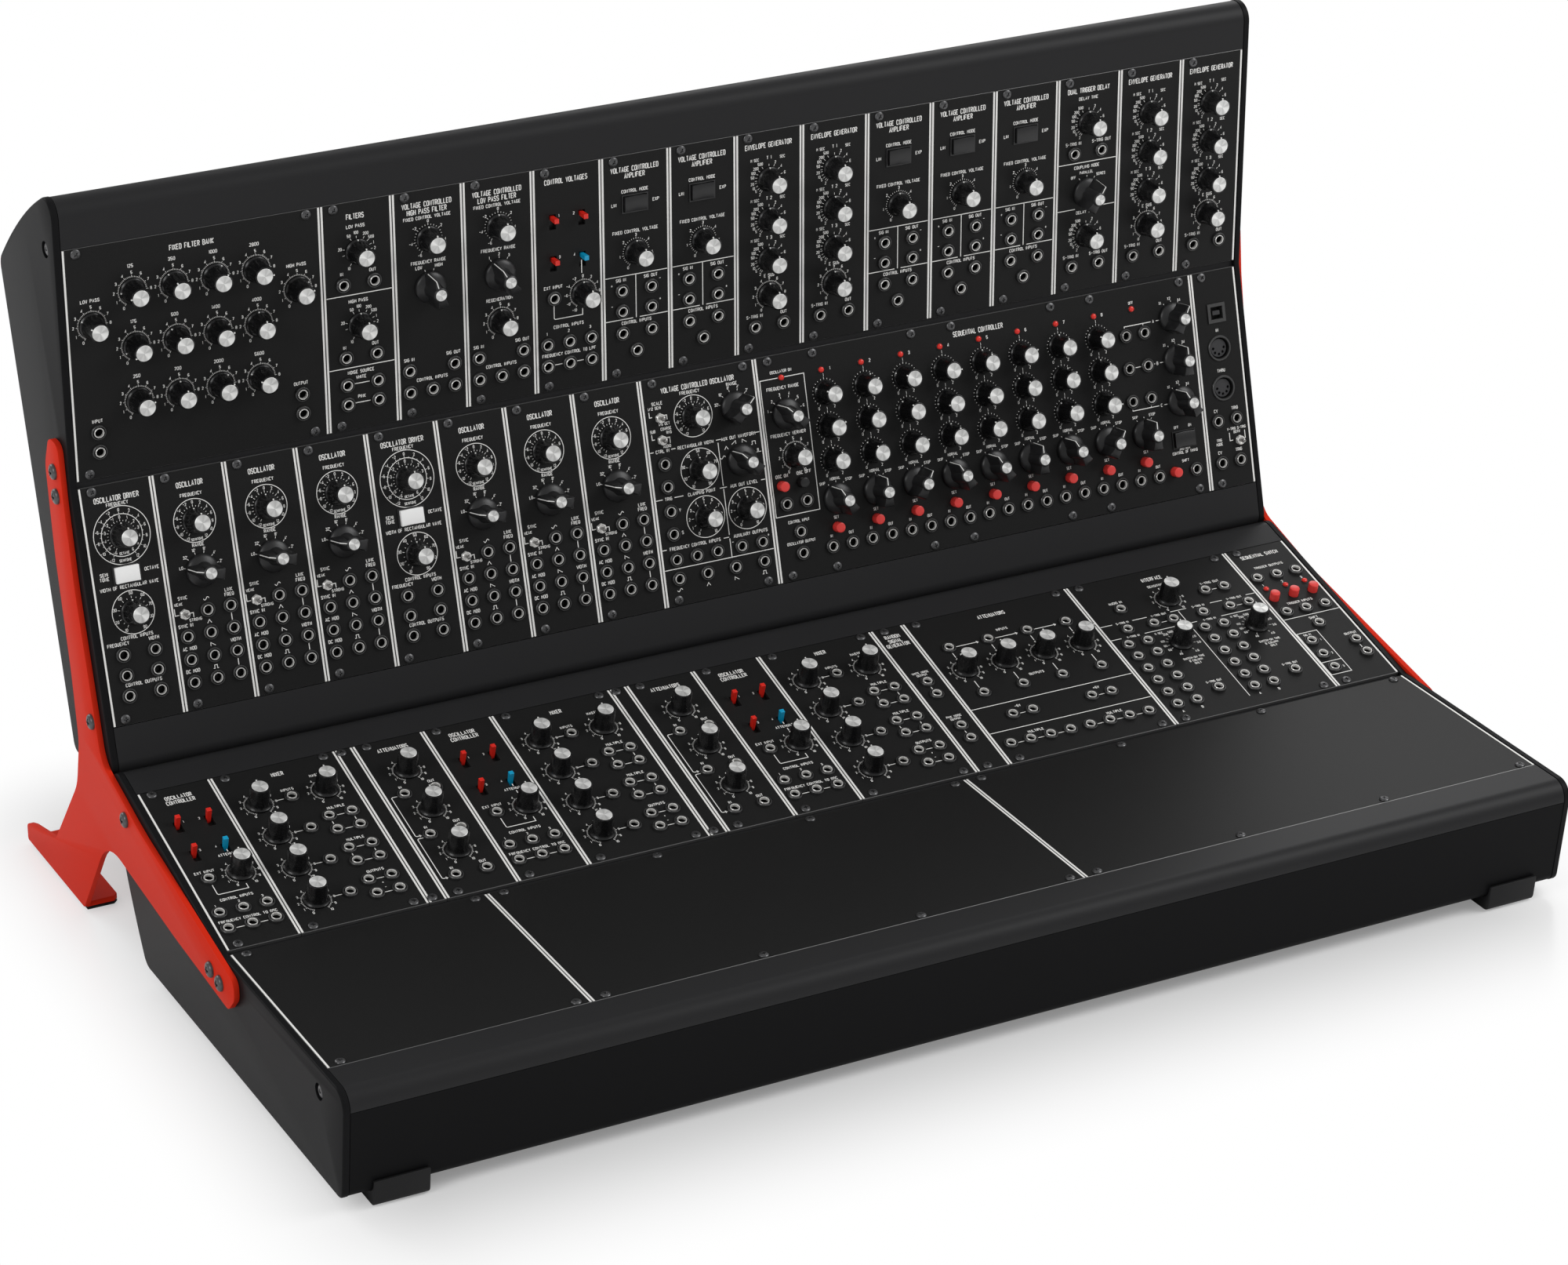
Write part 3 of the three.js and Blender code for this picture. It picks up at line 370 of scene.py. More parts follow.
middle_rail_line = np.array([
    (panel_height - rail_bar_width, rail_foot),
    crease_at(rail_foot),
    rear_point(rail_bar_width, rail_foot),
    rear_point(rail_bar_width, -panel_seat),
    crease_at(-panel_seat),
    (panel_height - rail_bar_width, -panel_seat),
])
rear_edge = panel_height + clearance
rear_rail_line = np.vstack((
    [
        rear_point(rear_edge, -panel_seat),
        rear_point(panel_height - rail_bar_width, -panel_seat),
        rear_point(panel_height - rail_bar_width, rail_foot),
        rear_point(rear_edge + rail_thickness, rail_foot),
        rear_point(rear_edge + rail_thickness, -rail_thickness),
    ],
    arc(rear_arc, rear_radius - rail_thickness, 90 + bend, -back_top_lean),
    arc(rear_arc, rear_radius, -back_top_lean, 90 + bend),
    [rear_point(rear_edge, 0)],
))
# Painted light: the rails' black is set lighter than the tub's, for the light on their tops.
rail_black = finish("rail_black", as_seen(40, 40, 41), 0.42, gloss=0.14, grain=0.3, shade=0.2, pits=0.08)
for case in seats:
    for rail, line in (
        ("front", front_rail_line),
        ("middle", middle_rail_line),
        ("rear", rear_rail_line),
    ):
        drawn = along_case(case, [(-half_row, line), (half_row, line)])
        name = f"{case}_{rail}_rail"
        piece(name + "_profile", [drawn], [rail_black], replaces=[name])


# A cheek closes each end: a plate cut to the case's side view, its outer edge rounded over,
# with a sunk oval-head screw near each rail end. Powder coated with the tub.
def case_line(grow):
    """The whole side view of a case, grown all round."""
    half_bend = math.tan(math.radians(bend / 2))
    return np.vstack((
        wall_line(grow),
        arc(rear_arc, rear_radius + grow, -back_top_lean, 90 + bend)[1:],
        [(bend_at - grow * half_bend, grow)],
        arc(front_arc, front_radius + grow, 90, 180 + front_lean)[:-1],
    ))


def as_mesh(part):
    """A loose mesh of a skin."""
    mesh = bpy.data.meshes.new("loose")
    mesh.from_pydata(np.asarray(part[0]).tolist(), [], part[1])
    return mesh


def as_skin(mesh):
    """The points and faces of a mesh."""
    points = np.array([vertex.co for vertex in mesh.vertices])
    return points, [tuple(face.vertices) for face in mesh.polygons]


def carved(part, cutters, how="DIFFERENCE"):
    """A skin with others cut out of it, or joined to it."""
    block = bpy.data.objects.new("block", as_mesh(part))
    bpy.context.scene.collection.objects.link(block)
    tools = []
    for cutter in cutters:
        tool = bpy.data.objects.new("tool", as_mesh(cutter))
        bpy.context.scene.collection.objects.link(tool)
        tools.append(tool)
        step = block.modifiers.new("cut", "BOOLEAN")
        step.object = tool
        step.operation = how
        step.solver = "EXACT"
    seen = bpy.context.evaluated_depsgraph_get()
    seen.update()
    made = as_skin(block.evaluated_get(seen).to_mesh())
    for each in [block, *tools]:
        bpy.data.objects.remove(each)
    return made


def eased(part, radius, steps=2, sharper=30):
    """A skin with its sharp edges rounded over by a radius."""
    made = bmesh.new()
    made.from_mesh(as_mesh(part))
    bmesh.ops.recalc_face_normals(made, faces=made.faces)
    edges = [
        edge for edge in made.edges
        if len(edge.link_faces) == 2 and edge.calc_face_angle() > math.radians(sharper)
    ]
    bmesh.ops.bevel(
        made, geom=edges, offset=radius, offset_type="OFFSET", segments=steps,
        profile=0.5, affect="EDGES", clamp_overlap=True,
    )
    mesh = bpy.data.meshes.new("eased")
    made.to_mesh(mesh)
    made.free()
    return as_skin(mesh)


def turned(profile, sides=32, hollow=False, waves=0):
    """A lathe-turned skin about Z; each stop is its radius, height and how deep its flutes are."""
    turns = np.linspace(0, 2 * math.pi, sides, endpoint=False)
    rings = []
    for stop in profile:
        depth = stop[2] if len(stop) > 2 else 0
        radius = stop[0] - depth * (0.5 + 0.5 * np.cos(waves * turns))
        rings.append(np.column_stack((
            radius * np.cos(turns), radius * np.sin(turns), np.full(sides, stop[1]),
        )))
    return skin(rings, closed=hollow)


head_root = 0.4
head_sides = 24
head_rim_share = 0.35
head_dome_shares = (0.92, 0.78, 0.6, 0.38, 0.18)
cross_width_share = 0.17
cross_reach_share = 0.56
cross_depth_share = 0.75
cross_floor_share = 0.55
cross_mouth_share = 1.15
cross_over = 1


def crossed_screw(radius, dome):
    """A pan head with a cross recess, its underside a little below the face that it stands on."""
    shape = [(radius, -head_root), (radius, dome * head_rim_share)]
    for share in head_dome_shares:
        rise = head_rim_share + (1 - head_rim_share) * math.sqrt(1 - share**2)
        shape.append((radius * share, dome * rise))
    wide, long, deep = radius * cross_width_share, radius * cross_reach_share, dome * cross_depth_share
    cutters = []
    for x, y in ((wide, long), (long, wide)):
        low = np.array([(-x, -y), (x, -y), (x, y), (-x, y)])
        floor_ring = np.column_stack((low * cross_floor_share, np.full(4, dome - deep)))
        mouth_ring = np.column_stack((low * cross_mouth_share, np.full(4, dome + cross_over)))
        cutters.append(skin([floor_ring, mouth_ring]))
    return carved(turned(shape, head_sides), cutters)


def on_side(part, side, across, y, z):
    """A skin about Z, laid on a side of the object so that its Z points outwards."""
    points = part[0]
    return (
        np.column_stack((across + side * points[:, 2], y + side * points[:, 0], z + points[:, 1])),
        part[1],
        *part[2:],
    )


cheek_outer = 359.5
cheek_thickness = 3.6
cheek_bevel = 1
cheek_inner_break = 0.2
screw_hole_inset = 3
cheek_screw_drop = 13.5
cheek_screw_places = [
    np.array((screw_hole_inset, -cheek_screw_drop)),
    np.array((panel_height - screw_hole_inset, -cheek_screw_drop)),
    rear_point(screw_hole_inset, -cheek_screw_drop),
    rear_point(panel_height - screw_hole_inset, -cheek_screw_drop),
]
cheek_sink_radius = 4.6
cheek_sink_depth = 1.5
cheek_sink_lip = 0.4
cheek_sink_over = 0.01
cheek_screw_radius = 3.4
cheek_screw_dome = 1.1
cheek_screw = crossed_screw(cheek_screw_radius, cheek_screw_dome)
cheek_black = finish(
    "cheek_black", as_seen(26, 26, 27), 0.4, gloss=0.04, grain=0.35, shade=0.25, pits=0.12,
)
screw_black = finish("screw_black", as_seen(96, 96, 97), 0.34, metal=0.8, grain=0.4, shade=0.2)
for case, ((seat_y, seat_z), tilt) in seats.items():
    for side, side_name in ((-1, "left"), (1, "right")):
        cheek_inner = cheek_outer - cheek_thickness
        stops = [
            (cheek_inner, case_line(clearance - cheek_inner_break)),
            (cheek_inner + cheek_inner_break, case_line(clearance)),
        ]
        for turn in (0, 30, 60, 90):
            over = math.radians(turn)
            stops.append((
                cheek_outer - cheek_bevel + cheek_bevel * math.sin(over),
                case_line(clearance - cheek_bevel + cheek_bevel * math.cos(over)),
            ))
        if side < 0:
            stops = [(-across, line) for across, line in reversed(stops)]
        plate = along_case(case, stops)
        screws, sinks = [], []
        for place in cheek_screw_places:
            y, z = leaned([place], tilt)[0] + (seat_y, seat_z)
            sink = turned([
                (cheek_sink_radius, -cheek_sink_depth),
                (cheek_sink_radius, cheek_sink_over),
                (cheek_sink_radius + cheek_sink_lip, cheek_sink_lip),
            ], 40)
            sinks.append(on_side(sink, side, side * cheek_outer, y, z))
            floor_at = side * (cheek_outer - cheek_sink_depth)
            screws.append(on_side(cheek_screw, side, floor_at, y, z))
        name = f"{case}_{side_name}_cheek"
        piece(name + "_plate", [carved(plate, sinks)], [cheek_black], replaces=[name])
        piece(name + "_screws", screws, [screw_black])


# The stand brackets are laser-cut 3 mm plate, one each side, bent in at the foot, in a bright
# red powder coat. Black pan-head screws hold both cases to them.
bracket_past_nose = 22.8
bracket_front = panel_height - bracket_past_nose
bracket_length = 320
bracket_height = 275.5
bracket_inner = cheek_outer + clearance
bracket_thickness = 3
pad_thickness = 2
flange_width = 19.5
flange_run = 89
flange_chamfer = 2.5
bracket_edge = 0.5
bracket_shares = [
    (0.714, 0, 0.006), (1, 0, 0.004), (1, 0.036, 0.014), (0.966, 0.05, 0.04),
    (0.845, 0.082, 0.035), (0.707, 0.274, 0.1), (0.681, 0.383, 0.1), (0.697, 0.528, 0.2),
    (0.737, 0.75, 0.2), (0.755, 0.935, 0.05), (0.73, 1, 0.025), (0.686, 1, 0.02),
    (0.676, 0.891, 0.1), (0.648, 0.716, 0.3), (0.572, 0.39, 0.05), (0.402, 0.331, 0.4),
    (0, 0.236, 0.018), (0, 0.198, 0.025), (0.029, 0.163, 0.02), (0.262, 0.184, 0.4),
    (0.573, 0.223, 0.115),
]


def rounded(corners, step=8):
    """An outline whose every corner is rounded by its own radius."""
    line = []
    for number, (x, y, radius) in enumerate(corners):
        here = np.array((x, y))
        before = np.array(corners[number - 1][:2]) - here
        after = np.array(corners[(number + 1) % len(corners)][:2]) - here
        before, after = before / np.linalg.norm(before), after / np.linalg.norm(after)
        half = math.acos(np.clip(before @ after, -1, 1)) / 2
        middle = before + after
        middle = here + middle / np.linalg.norm(middle) * radius / math.sin(half)
        start = here + before * radius / math.tan(half) - middle
        end = here + after * radius / math.tan(half) - middle
        first = math.degrees(math.atan2(start[1], start[0]))
        sweep = math.copysign(180 - 2 * math.degrees(half), start[0] * end[1] - start[1] * end[0])
        line.append(arc(middle, radius, first, first + sweep, step))
    return np.vstack(line)


def across_object(line, low, high):
    """A side view of the whole object, drawn out between two places across."""
    seat = seats["lower"][0][0]
    return skin([
        np.column_stack((np.full(len(line), x), line[:, 0] + seat, line[:, 1])) for x in (low, high)
    ])


bracket_line = rounded([
    (bracket_front + along * bracket_length, pad_thickness + rise * bracket_height,
     radius * bracket_length)
    for along, rise, radius in bracket_shares
])
bracket_screw_places = [
    (134.5, 260.0), (132.8, 246.6), (100.9, 129.2), (57.0, 90.9), (-60.9, 59.2), (-74.1, 57.7),
]
bracket_screw_radius = 4.3
bracket_screw_dome = 2.6
bracket_screw = crossed_screw(bracket_screw_radius, bracket_screw_dome)
bracket_red = finish(
    "bracket_red", as_seen(214, 46, 24), 0.46, gloss=0.03, grain=0.45, shade=0.06, pits=0.1,
)
lower_seat_y = seats["lower"][0][0]
for side, side_name in ((-1, "left"), (1, "right")):
    edges = sorted((side * bracket_inner, side * (bracket_inner + bracket_thickness)))
    plate = across_object(bracket_line, *edges)
    rear = bracket_front + bracket_length - bracket_thickness
    front = rear - flange_run
    outer = side * (bracket_inner + bracket_thickness / 2)
    inner = side * (bracket_inner + bracket_thickness - flange_width)
    foot = np.array([
        (outer, front), (outer, rear), (inner, rear), (inner, front + flange_chamfer),
        (inner + side * flange_chamfer, front),
    ]) + (0, lower_seat_y)
    if side < 0:
        foot = foot[::-1]
    flange = skin([
        np.column_stack((foot, np.full(len(foot), z)))
        for z in (pad_thickness, pad_thickness + bracket_thickness)
    ])
    whole = eased(carved(plate, [flange], "UNION"), bracket_edge, sharper=40)
    name = side_name + "_stand_bracket"
    piece(name + "_plate", [whole], [bracket_red], crease=40, replaces=[name])
    heads = [
        on_side(bracket_screw, side, side * (bracket_inner + bracket_thickness), y, z)
        for y, z in bracket_screw_places
    ]
    piece(side_name + "_bracket_screws", heads, [screw_black])


# Black rubber keeps the object from sliding: a moulded foot wraps the lower front edge at each
# end, and a thin pad is stuck under each bracket's flange. Their edges are moulded round.
foot_rubber = finish("foot_rubber", as_seen(22, 22, 23), 0.6, gloss=0.3, shade=0.2, pits=0.15)
foot_edge = 1.0
pad_edge = 0.5
weld_reach = 0.00001
flat_turn = math.radians(1)
for side_name in ("left", "right"):
    for node, edge in (("front_foot_" + side_name, foot_edge), (side_name + "_bracket_pad", pad_edge)):
        welded = bmesh.new()
        welded.from_mesh(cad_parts[node].data)
        bmesh.ops.remove_doubles(welded, verts=welded.verts, dist=weld_reach)
        bmesh.ops.dissolve_limit(welded, angle_limit=flat_turn, verts=welded.verts, edges=welded.edges)
        for vertex in welded.verts:
            vertex.co /= mm
        loose = bpy.data.meshes.new("loose")
        welded.to_mesh(loose)
        welded.free()
        soft = eased(as_skin(loose), edge, sharper=50)
        piece(node + "_rubber", [soft], [foot_rubber], crease=50, replaces=[node])


# The power boards inside the cases and the inlets in their backs keep their CAD shapes: the
# boards are green, and the inlets and the rocker beside each are moulded in black.
board_green = finish("board_green", as_seen(30, 66, 44), 0.45, grain=1.5, shade=0.25)
inlet_black = finish("inlet_black", as_seen(26, 26, 27), 0.38, grain=0.6, shade=0.2, pits=0.05)
for case in seats:
    for node, look in (
        ("bus_board", board_green), ("power_inlet", inlet_black), ("power_switch", inlet_black),
    ):
        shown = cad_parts[f"{case}_{node}"]
        shown.data.materials.clear()
        shown.data.materials.append(look)


# Every module is its own 2 mm aluminium panel, anodised satin black and drilled for what stands
# on it, with its front edge broken so that bare metal shows. 140 slots of 5.08 mm make a row.
slot = 5.08
panel_thickness = 2
panel_gap = 0.15
panel_chamfer = 0.25
step_share = 0.089
outer_three = (0.165, 0.49, 0.81)
two_columns = (0.277, 0.712)


def grid(columns, heights):
    """Places where every column meets every height."""
    return [(column, height) for column in columns for height in heights]


def steps_from(first, count=9):
    """The columns of the sequencer's steps."""
    return [first + step_share * number for number in range(count)]


# A kind of module: its slots, its screws' columns, and where its controls and jacks are.
bank_columns, bank_heights = (0.26, 0.42, 0.58, 0.74), (0.781, 0.545, 0.308)
screw_edge = 7.3
kinds = {
    "bank": (28, (7.5, 134.3), {
        "knob": [(0.098, 0.664), *grid(bank_columns, bank_heights), (0.9, 0.664)],
        "jack": grid((0.096, 0.898), (0.202, 0.117)),
    }),
    "filter": (8, (screw_edge,), {
        "knob": grid((0.5,), (0.781, 0.459)),
        "jack": grid(two_columns, (0.645, 0.324, 0.203, 0.117)),
    }),
    "high_pass": (8, (screw_edge,), {
        "knob": [(0.5, 0.783)],
        "pointer": [(0.5, 0.57)],
        "jack": grid((0.165, 0.81), (0.214,)) + grid(outer_three, (0.117,)),
    }),
    "low_pass": (8, (screw_edge,), {
        "knob": grid((0.5,), (0.783, 0.361)),
        "pointer": [(0.5, 0.57)],
        "jack": grid((0.165, 0.81), (0.214,)) + grid(outer_three, (0.117,)),
    }),
    "controller": (8, (screw_edge,), {
        "slide": grid((0.283, 0.709), (0.774, 0.589)),
        "knob": [(0.709, 0.419)],
        "jack": [(0.276, 0.419), *grid(outer_three, (0.214, 0.117))],
    }),
    "amplifier": (8, (screw_edge,), {
        "rocker": [(0.49, 0.781)],
        "knob": [(0.5, 0.561)],
        "jack": [*grid(two_columns, (0.397, 0.304, 0.204)), (0.488, 0.118)],
    }),
    "envelope": (8, (screw_edge,), {
        "knob": grid((0.5,), (0.781, 0.599, 0.419, 0.256)),
        "jack": grid(two_columns, (0.118,)),
    }),
    "delay": (8, (screw_edge,), {
        "knob": grid((0.503,), (0.783, 0.257)),
        "pointer": [(0.5, 0.458)],
        "jack": grid(two_columns, (0.648, 0.119)),
    }),
    "driver": (8, (screw_edge,), {
        "knob": grid((0.5,), (0.78, 0.458)),
        "rocker": [(0.488, 0.619)],
        "jack": grid(two_columns, (0.29, 0.204, 0.118)),
    }),
    "oscillator": (8, (screw_edge,), {
        "knob": [(0.5, 0.781)],
        "pointer": [(0.5, 0.572)],
        "toggle": [(0.177, 0.405)],
        "jack": grid((0.174,), (0.311, 0.214, 0.118))
        + grid((0.496, 0.814), (0.406, 0.311, 0.214, 0.118)),
    }),
    "wide_oscillator": (14, (7.8, 63.8), {
        "knob": [(0.426, 0.806), (0.429, 0.572), (0.427, 0.362), (0.793, 0.362)],
        "pointer": grid((0.793,), (0.809, 0.576)),
        "toggle": [(0.14, 0.824), (0.135, 0.728)],
        "jack": grid((0.131,), (0.623, 0.523, 0.415, 0.315))
        + grid((0.13, 0.308, 0.488, 0.7, 0.882), (0.203,))
        + grid((0.132, 0.38, 0.628, 0.879), (0.118,)),
    }),
    "sequencer": (56, (8.1, 36.4, 99.4, 125.2, 190.4, 216.4, 276.6), {
        "knob": [(0.065, 0.548), *grid(steps_from(0.1466, 8), (0.795, 0.647, 0.498))],
        "pointer": [
            (0.057, 0.736),
            *grid(steps_from(0.1466), (0.324,)),
            *grid((0.949,), (0.824, 0.632, 0.44)),
        ],
        "button": [(0.028, 0.426), *grid(steps_from(0.1385), (0.198,)), (0.072, 0.427), (0.918, 0.124)],
        "rocker": [(0.947, 0.266)],
        "lamp": [(0.0545, 0.897), *grid(steps_from(0.143), (0.897,))],
        "jack": grid((0.033, 0.078), (0.344,))
        + grid((0.056,), (0.213, 0.117))
        + grid(steps_from(0.1227), (0.118,))
        + grid(steps_from(0.1673), (0.118,))
        + grid((0.835, 0.879), (0.781, 0.631, 0.481))
        + [(0.968, 0.118)],
    }),
    "midi": (6, (7.5,), {
        "toggle": [(0.728, 0.208)],
        "din": grid((0.49,), (0.643, 0.459)),
        "usb": [(0.5, 0.805)],
        "jack": grid((0.284, 0.702), (0.312, 0.119)),
    }),
    "mixer": (14, (7.7, 63.6), {
        "knob": [(0.77, 0.782), *grid((0.236,), (0.782, 0.576, 0.371, 0.164))],
        "jack": grid((0.499,), (0.782, 0.576, 0.369, 0.162))
        + grid((0.677, 0.858), (0.62, 0.531, 0.411, 0.326, 0.205, 0.119)),
    }),
    "attenuator": (8, (screw_edge,), {
        "knob": grid((0.5,), (0.786, 0.526, 0.261)),
        "jack": grid(two_columns, (0.646, 0.38, 0.118)),
    }),
    "random": (4, (7.5,), {"jack": grid((0.48,), (0.605, 0.517, 0.294, 0.206))}),
    "wide_attenuator": (21, (7.5, 98.8), {
        "knob": grid((0.146, 0.383, 0.62, 0.857), (0.628,)),
        "jack": grid((0.146, 0.383, 0.62, 0.857), (0.784, 0.461))
        + grid((0.206, 0.325, 0.681, 0.8), (0.29,))
        + grid((0.08, 0.198, 0.317, 0.436, 0.554, 0.673, 0.791, 0.91), (0.118,)),
    }),
    "interface": (21, (7.5, 98.8), {
        "knob": [(0.495, 0.784), (0.372, 0.493), (0.848, 0.494)],
        "jack": grid((0.198, 0.729, 0.849), (0.783,))
        + grid((0.147, 0.311, 0.433, 0.62, 0.789, 0.908), (0.647,))
        + grid((0.085, 0.204, 0.56, 0.679), (0.548, 0.464, 0.376, 0.29, 0.203, 0.118))
        + grid((0.369, 0.846), (0.161,)),
    }),
    "switch": (8, (screw_edge,), {
        "button": grid((0.165, 0.49, 0.81), (0.636,)),
        "lamp": grid((0.165, 0.49, 0.81), (0.706,)),
        "jack": grid(outer_three, (0.784, 0.528))
        + [(0.485, 0.414), *grid((0.162,), (0.312, 0.214, 0.117)), *grid((0.8,), (0.259, 0.166))],
    }),
    "narrow_blank": (2, (2.9,), {}),
    "blank": (28, (8.0, 134.6), {}),
    "wide_blank": (56, (8.5, 97, 188, 276.6), {}),
}
row_names = ("top_row", "second_row", "third_row", "front_row")
rows = {
    "top_row": [
        ("filter_bank_module", ["bank"]),
        ("filter_and_control_modules", ["filter", "high_pass", "low_pass", "controller"]),
        ("amplifier_and_envelope_modules", [
            "amplifier", "amplifier", "envelope", "envelope",
            "amplifier", "amplifier", "amplifier", "delay", "envelope", "envelope",
        ]),
    ],
    "second_row": [
        ("oscillator_modules", ["driver", *["oscillator"] * 3] * 2),
        ("wide_oscillator_module", ["wide_oscillator"]),
        ("sequencer_module", ["sequencer"]),
        ("midi_module", ["midi"]),
    ],
    "third_row": [
        ("controller_and_mixer_modules", [
            *["controller", "mixer", "narrow_blank", "attenuator"] * 2, "controller", "mixer", "random",
        ]),
        ("wide_attenuator_module", ["wide_attenuator"]),
        ("interface_module", ["interface"]),
        ("sequential_switch_module", ["switch"]),
    ],
    "front_row": [
        ("left_blank_panel", ["blank"]),
        ("middle_blank_panel", ["wide_blank"]),
        ("right_blank_panel", ["wide_blank"]),
    ],
}
row_seats = {}
for row, case, rear in (
    ("top_row", "upper", True), ("second_row", "upper", False),
    ("third_row", "lower", True), ("front_row", "lower", False),
):
    (seat_y, seat_z), tilt = seats[case]
    if rear:
        seat_y, seat_z = leaned([rear_row_at], tilt)[0] + (seat_y, seat_z)
        tilt += bend
    row_seats[row] = (seat_y, seat_z, math.radians(tilt))

# What moves on the first module of its kind: a node for each leading place of a control.
moving_nodes = {
    "bank": {"knob": ["filter_bank_knob"]},
    "high_pass": {"pointer": ["high_pass_range_switch"]},
    "low_pass": {"knob": ["low_pass_cutoff_knob"]},
    "controller": {"slide": ["voltage_slide_switch"]},
    "amplifier": {"rocker": ["amplifier_mode_rocker"], "knob": ["amplifier_gain_knob"]},
    "envelope": {"knob": ["envelope_attack_knob"]},
    "delay": {"pointer": ["delay_coupling_switch"]},
    "driver": {"knob": ["driver_frequency_knob"], "rocker": ["driver_range_rocker"]},
    "oscillator": {
        "knob": ["oscillator_frequency_knob"],
        "pointer": ["oscillator_range_switch"],
        "toggle": ["oscillator_sync_toggle"],
    },
    "wide_oscillator": {"knob": ["wide_oscillator_knob"]},
    "sequencer": {
        "knob": ["sequencer_clock_knob"],
        "pointer": ["sequencer_step_switch"],
        "button": ["sequencer_start_button", "sequencer_set_button"],
        "rocker": ["sequencer_timing_rocker"],
    },
    "mixer": {"knob": ["mixer_master_knob"]},
    "wide_attenuator": {"knob": ["attenuator_knob"]},
    "switch": {"button": ["switch_select_button"]},
}

# How far the knobs stand turned clockwise from straight up, in the order of their places.
turns = {
    ("bank", "knob"): (-60, -90, -118, 61, -28, -27, 0, 31, 62, 35, 90, 0, -61, 61),
    ("high_pass", "pointer"): (-15,),
    ("low_pass", "pointer"): (-30,),
    ("delay", "pointer"): (30,),
    ("oscillator", "pointer"): (-75,),
    ("wide_oscillator", "pointer"): (45, -45),
    ("sequencer", "knob"): (
        0, -63, 60, 0, 31, 0, -31, -62, -34, 61, 90, -90, 0,
        0, -90, -30, 60, -35, 0, 0, 30, -32, -60, 0, 90,
    ),
    ("sequencer", "pointer"): (-45, -30, 0, 30, -30, -30, 0, -30, 30, 0, 30, 0, -30),
    ("wide_attenuator", "knob"): (-90, -31, 0, 90),
}
modules, controls = [], {}
placed_kinds = set()
for row, panels in rows.items():
    left = 0
    for node, names in panels:
        for kind in names:
            slots, _, places = kinds[kind]
            modules.append((row, node, kind, left))
            for control, spots in places.items():
                movers = [] if kind in placed_kinds else moving_nodes.get(kind, {}).get(control, [])
                for number, (across, up) in enumerate(spots):
                    turn = turns.get((kind, control), [0] * len(spots))[number]
                    mover = movers[number] if number < len(movers) else None
                    spot = (row, left + across * slots * slot, up * panel_height, turn, mover)
                    controls.setdefault(control, []).append((*spot, kind, number))
            placed_kinds.add(kind)
            left += slots * slot


def on_panel(row, part, across=0, up=0, turn=0):
    """A skin about Z, laid on a row of panels with its Z outwards and turned clockwise."""
    y, z, tilt = row_seats[row]
    points = np.asarray(part[0])
    c, s = math.cos(math.radians(turn)), math.sin(math.radians(turn))
    x = across + points[:, 0] * c + points[:, 1] * s
    v = up - points[:, 0] * s + points[:, 1] * c
    out = points[:, 2]
    laid = np.column_stack((
        x - half_row,
        y + v * math.cos(tilt) - out * math.sin(tilt),
        z + v * math.sin(tilt) + out * math.cos(tilt),
    ))
    return (laid, *part[1:])


def circle(radius, x=0, y=0, sides=16):
    """Points round a place, counter-clockwise."""
    return [
        (x + radius * math.cos(2 * math.pi * n / sides), y + radius * math.sin(2 * math.pi * n / sides))
        for n in range(sides)
    ]


def oblong(wide, high, x=0, y=0):
    """Corners round a place, counter-clockwise."""
    return [(x + a * wide / 2, y + b * high / 2) for a, b in ((-1, -1), (1, -1), (1, 1), (-1, 1))]


def drilled(low_x, high_x, high_y, holes):
    """A plate with straight holes: its points, its painted faces and its bare broken edge."""
    c = panel_chamfer
    rim = [(low_x + c, c), (high_x - c, c), (high_x - c, high_y - c), (low_x + c, high_y - c)]
    edge = [(low_x, 0), (high_x, 0), (high_x, high_y), (low_x, high_y)]
    loops = [rim, *holes]
    flat = [Vector(point) for loop in loops for point in loop]
    owner = [number for number, loop in enumerate(loops) for _ in loop]
    ties, start = [], 0
    for loop in loops:
        ties += [(start + n, start + (n + 1) % len(loop)) for n in range(len(loop))]
        start += len(loop)
    _, _, triangles, origin, _, _ = delaunay_2d_cdt(flat, ties, [], 0, weld_reach)
    names = [old[0] for old in origin]
    count = len(flat)
    top = [(point.x, point.y, 0) for point in flat]
    low = [(*(edge[n] if n < 4 else flat[n]), -panel_thickness) for n in range(count)]
    faces = []
    for triangle in triangles:
        a, b, d = (names[corner] for corner in triangle)
        if owner[a] == owner[b] == owner[d] != 0:
            continue
        if (flat[b] - flat[a]).cross(flat[d] - flat[a]) < 0:
            b, d = d, b
        faces += [(a, b, d), (count + a, count + d, count + b)]
    for n, m in ties[4:]:
        faces.append((n, m, count + m, count + n))
    brow = [(x, y, -c) for x, y in edge]
    bare = []
    for n in range(4):
        m = (n + 1) % 4
        bare.append((2 * count + n, 2 * count + m, m, n))
        bare.append((count + n, count + m, 2 * count + m, 2 * count + n))
    points = np.array(top + low + brow, float)
    return points, faces, bare


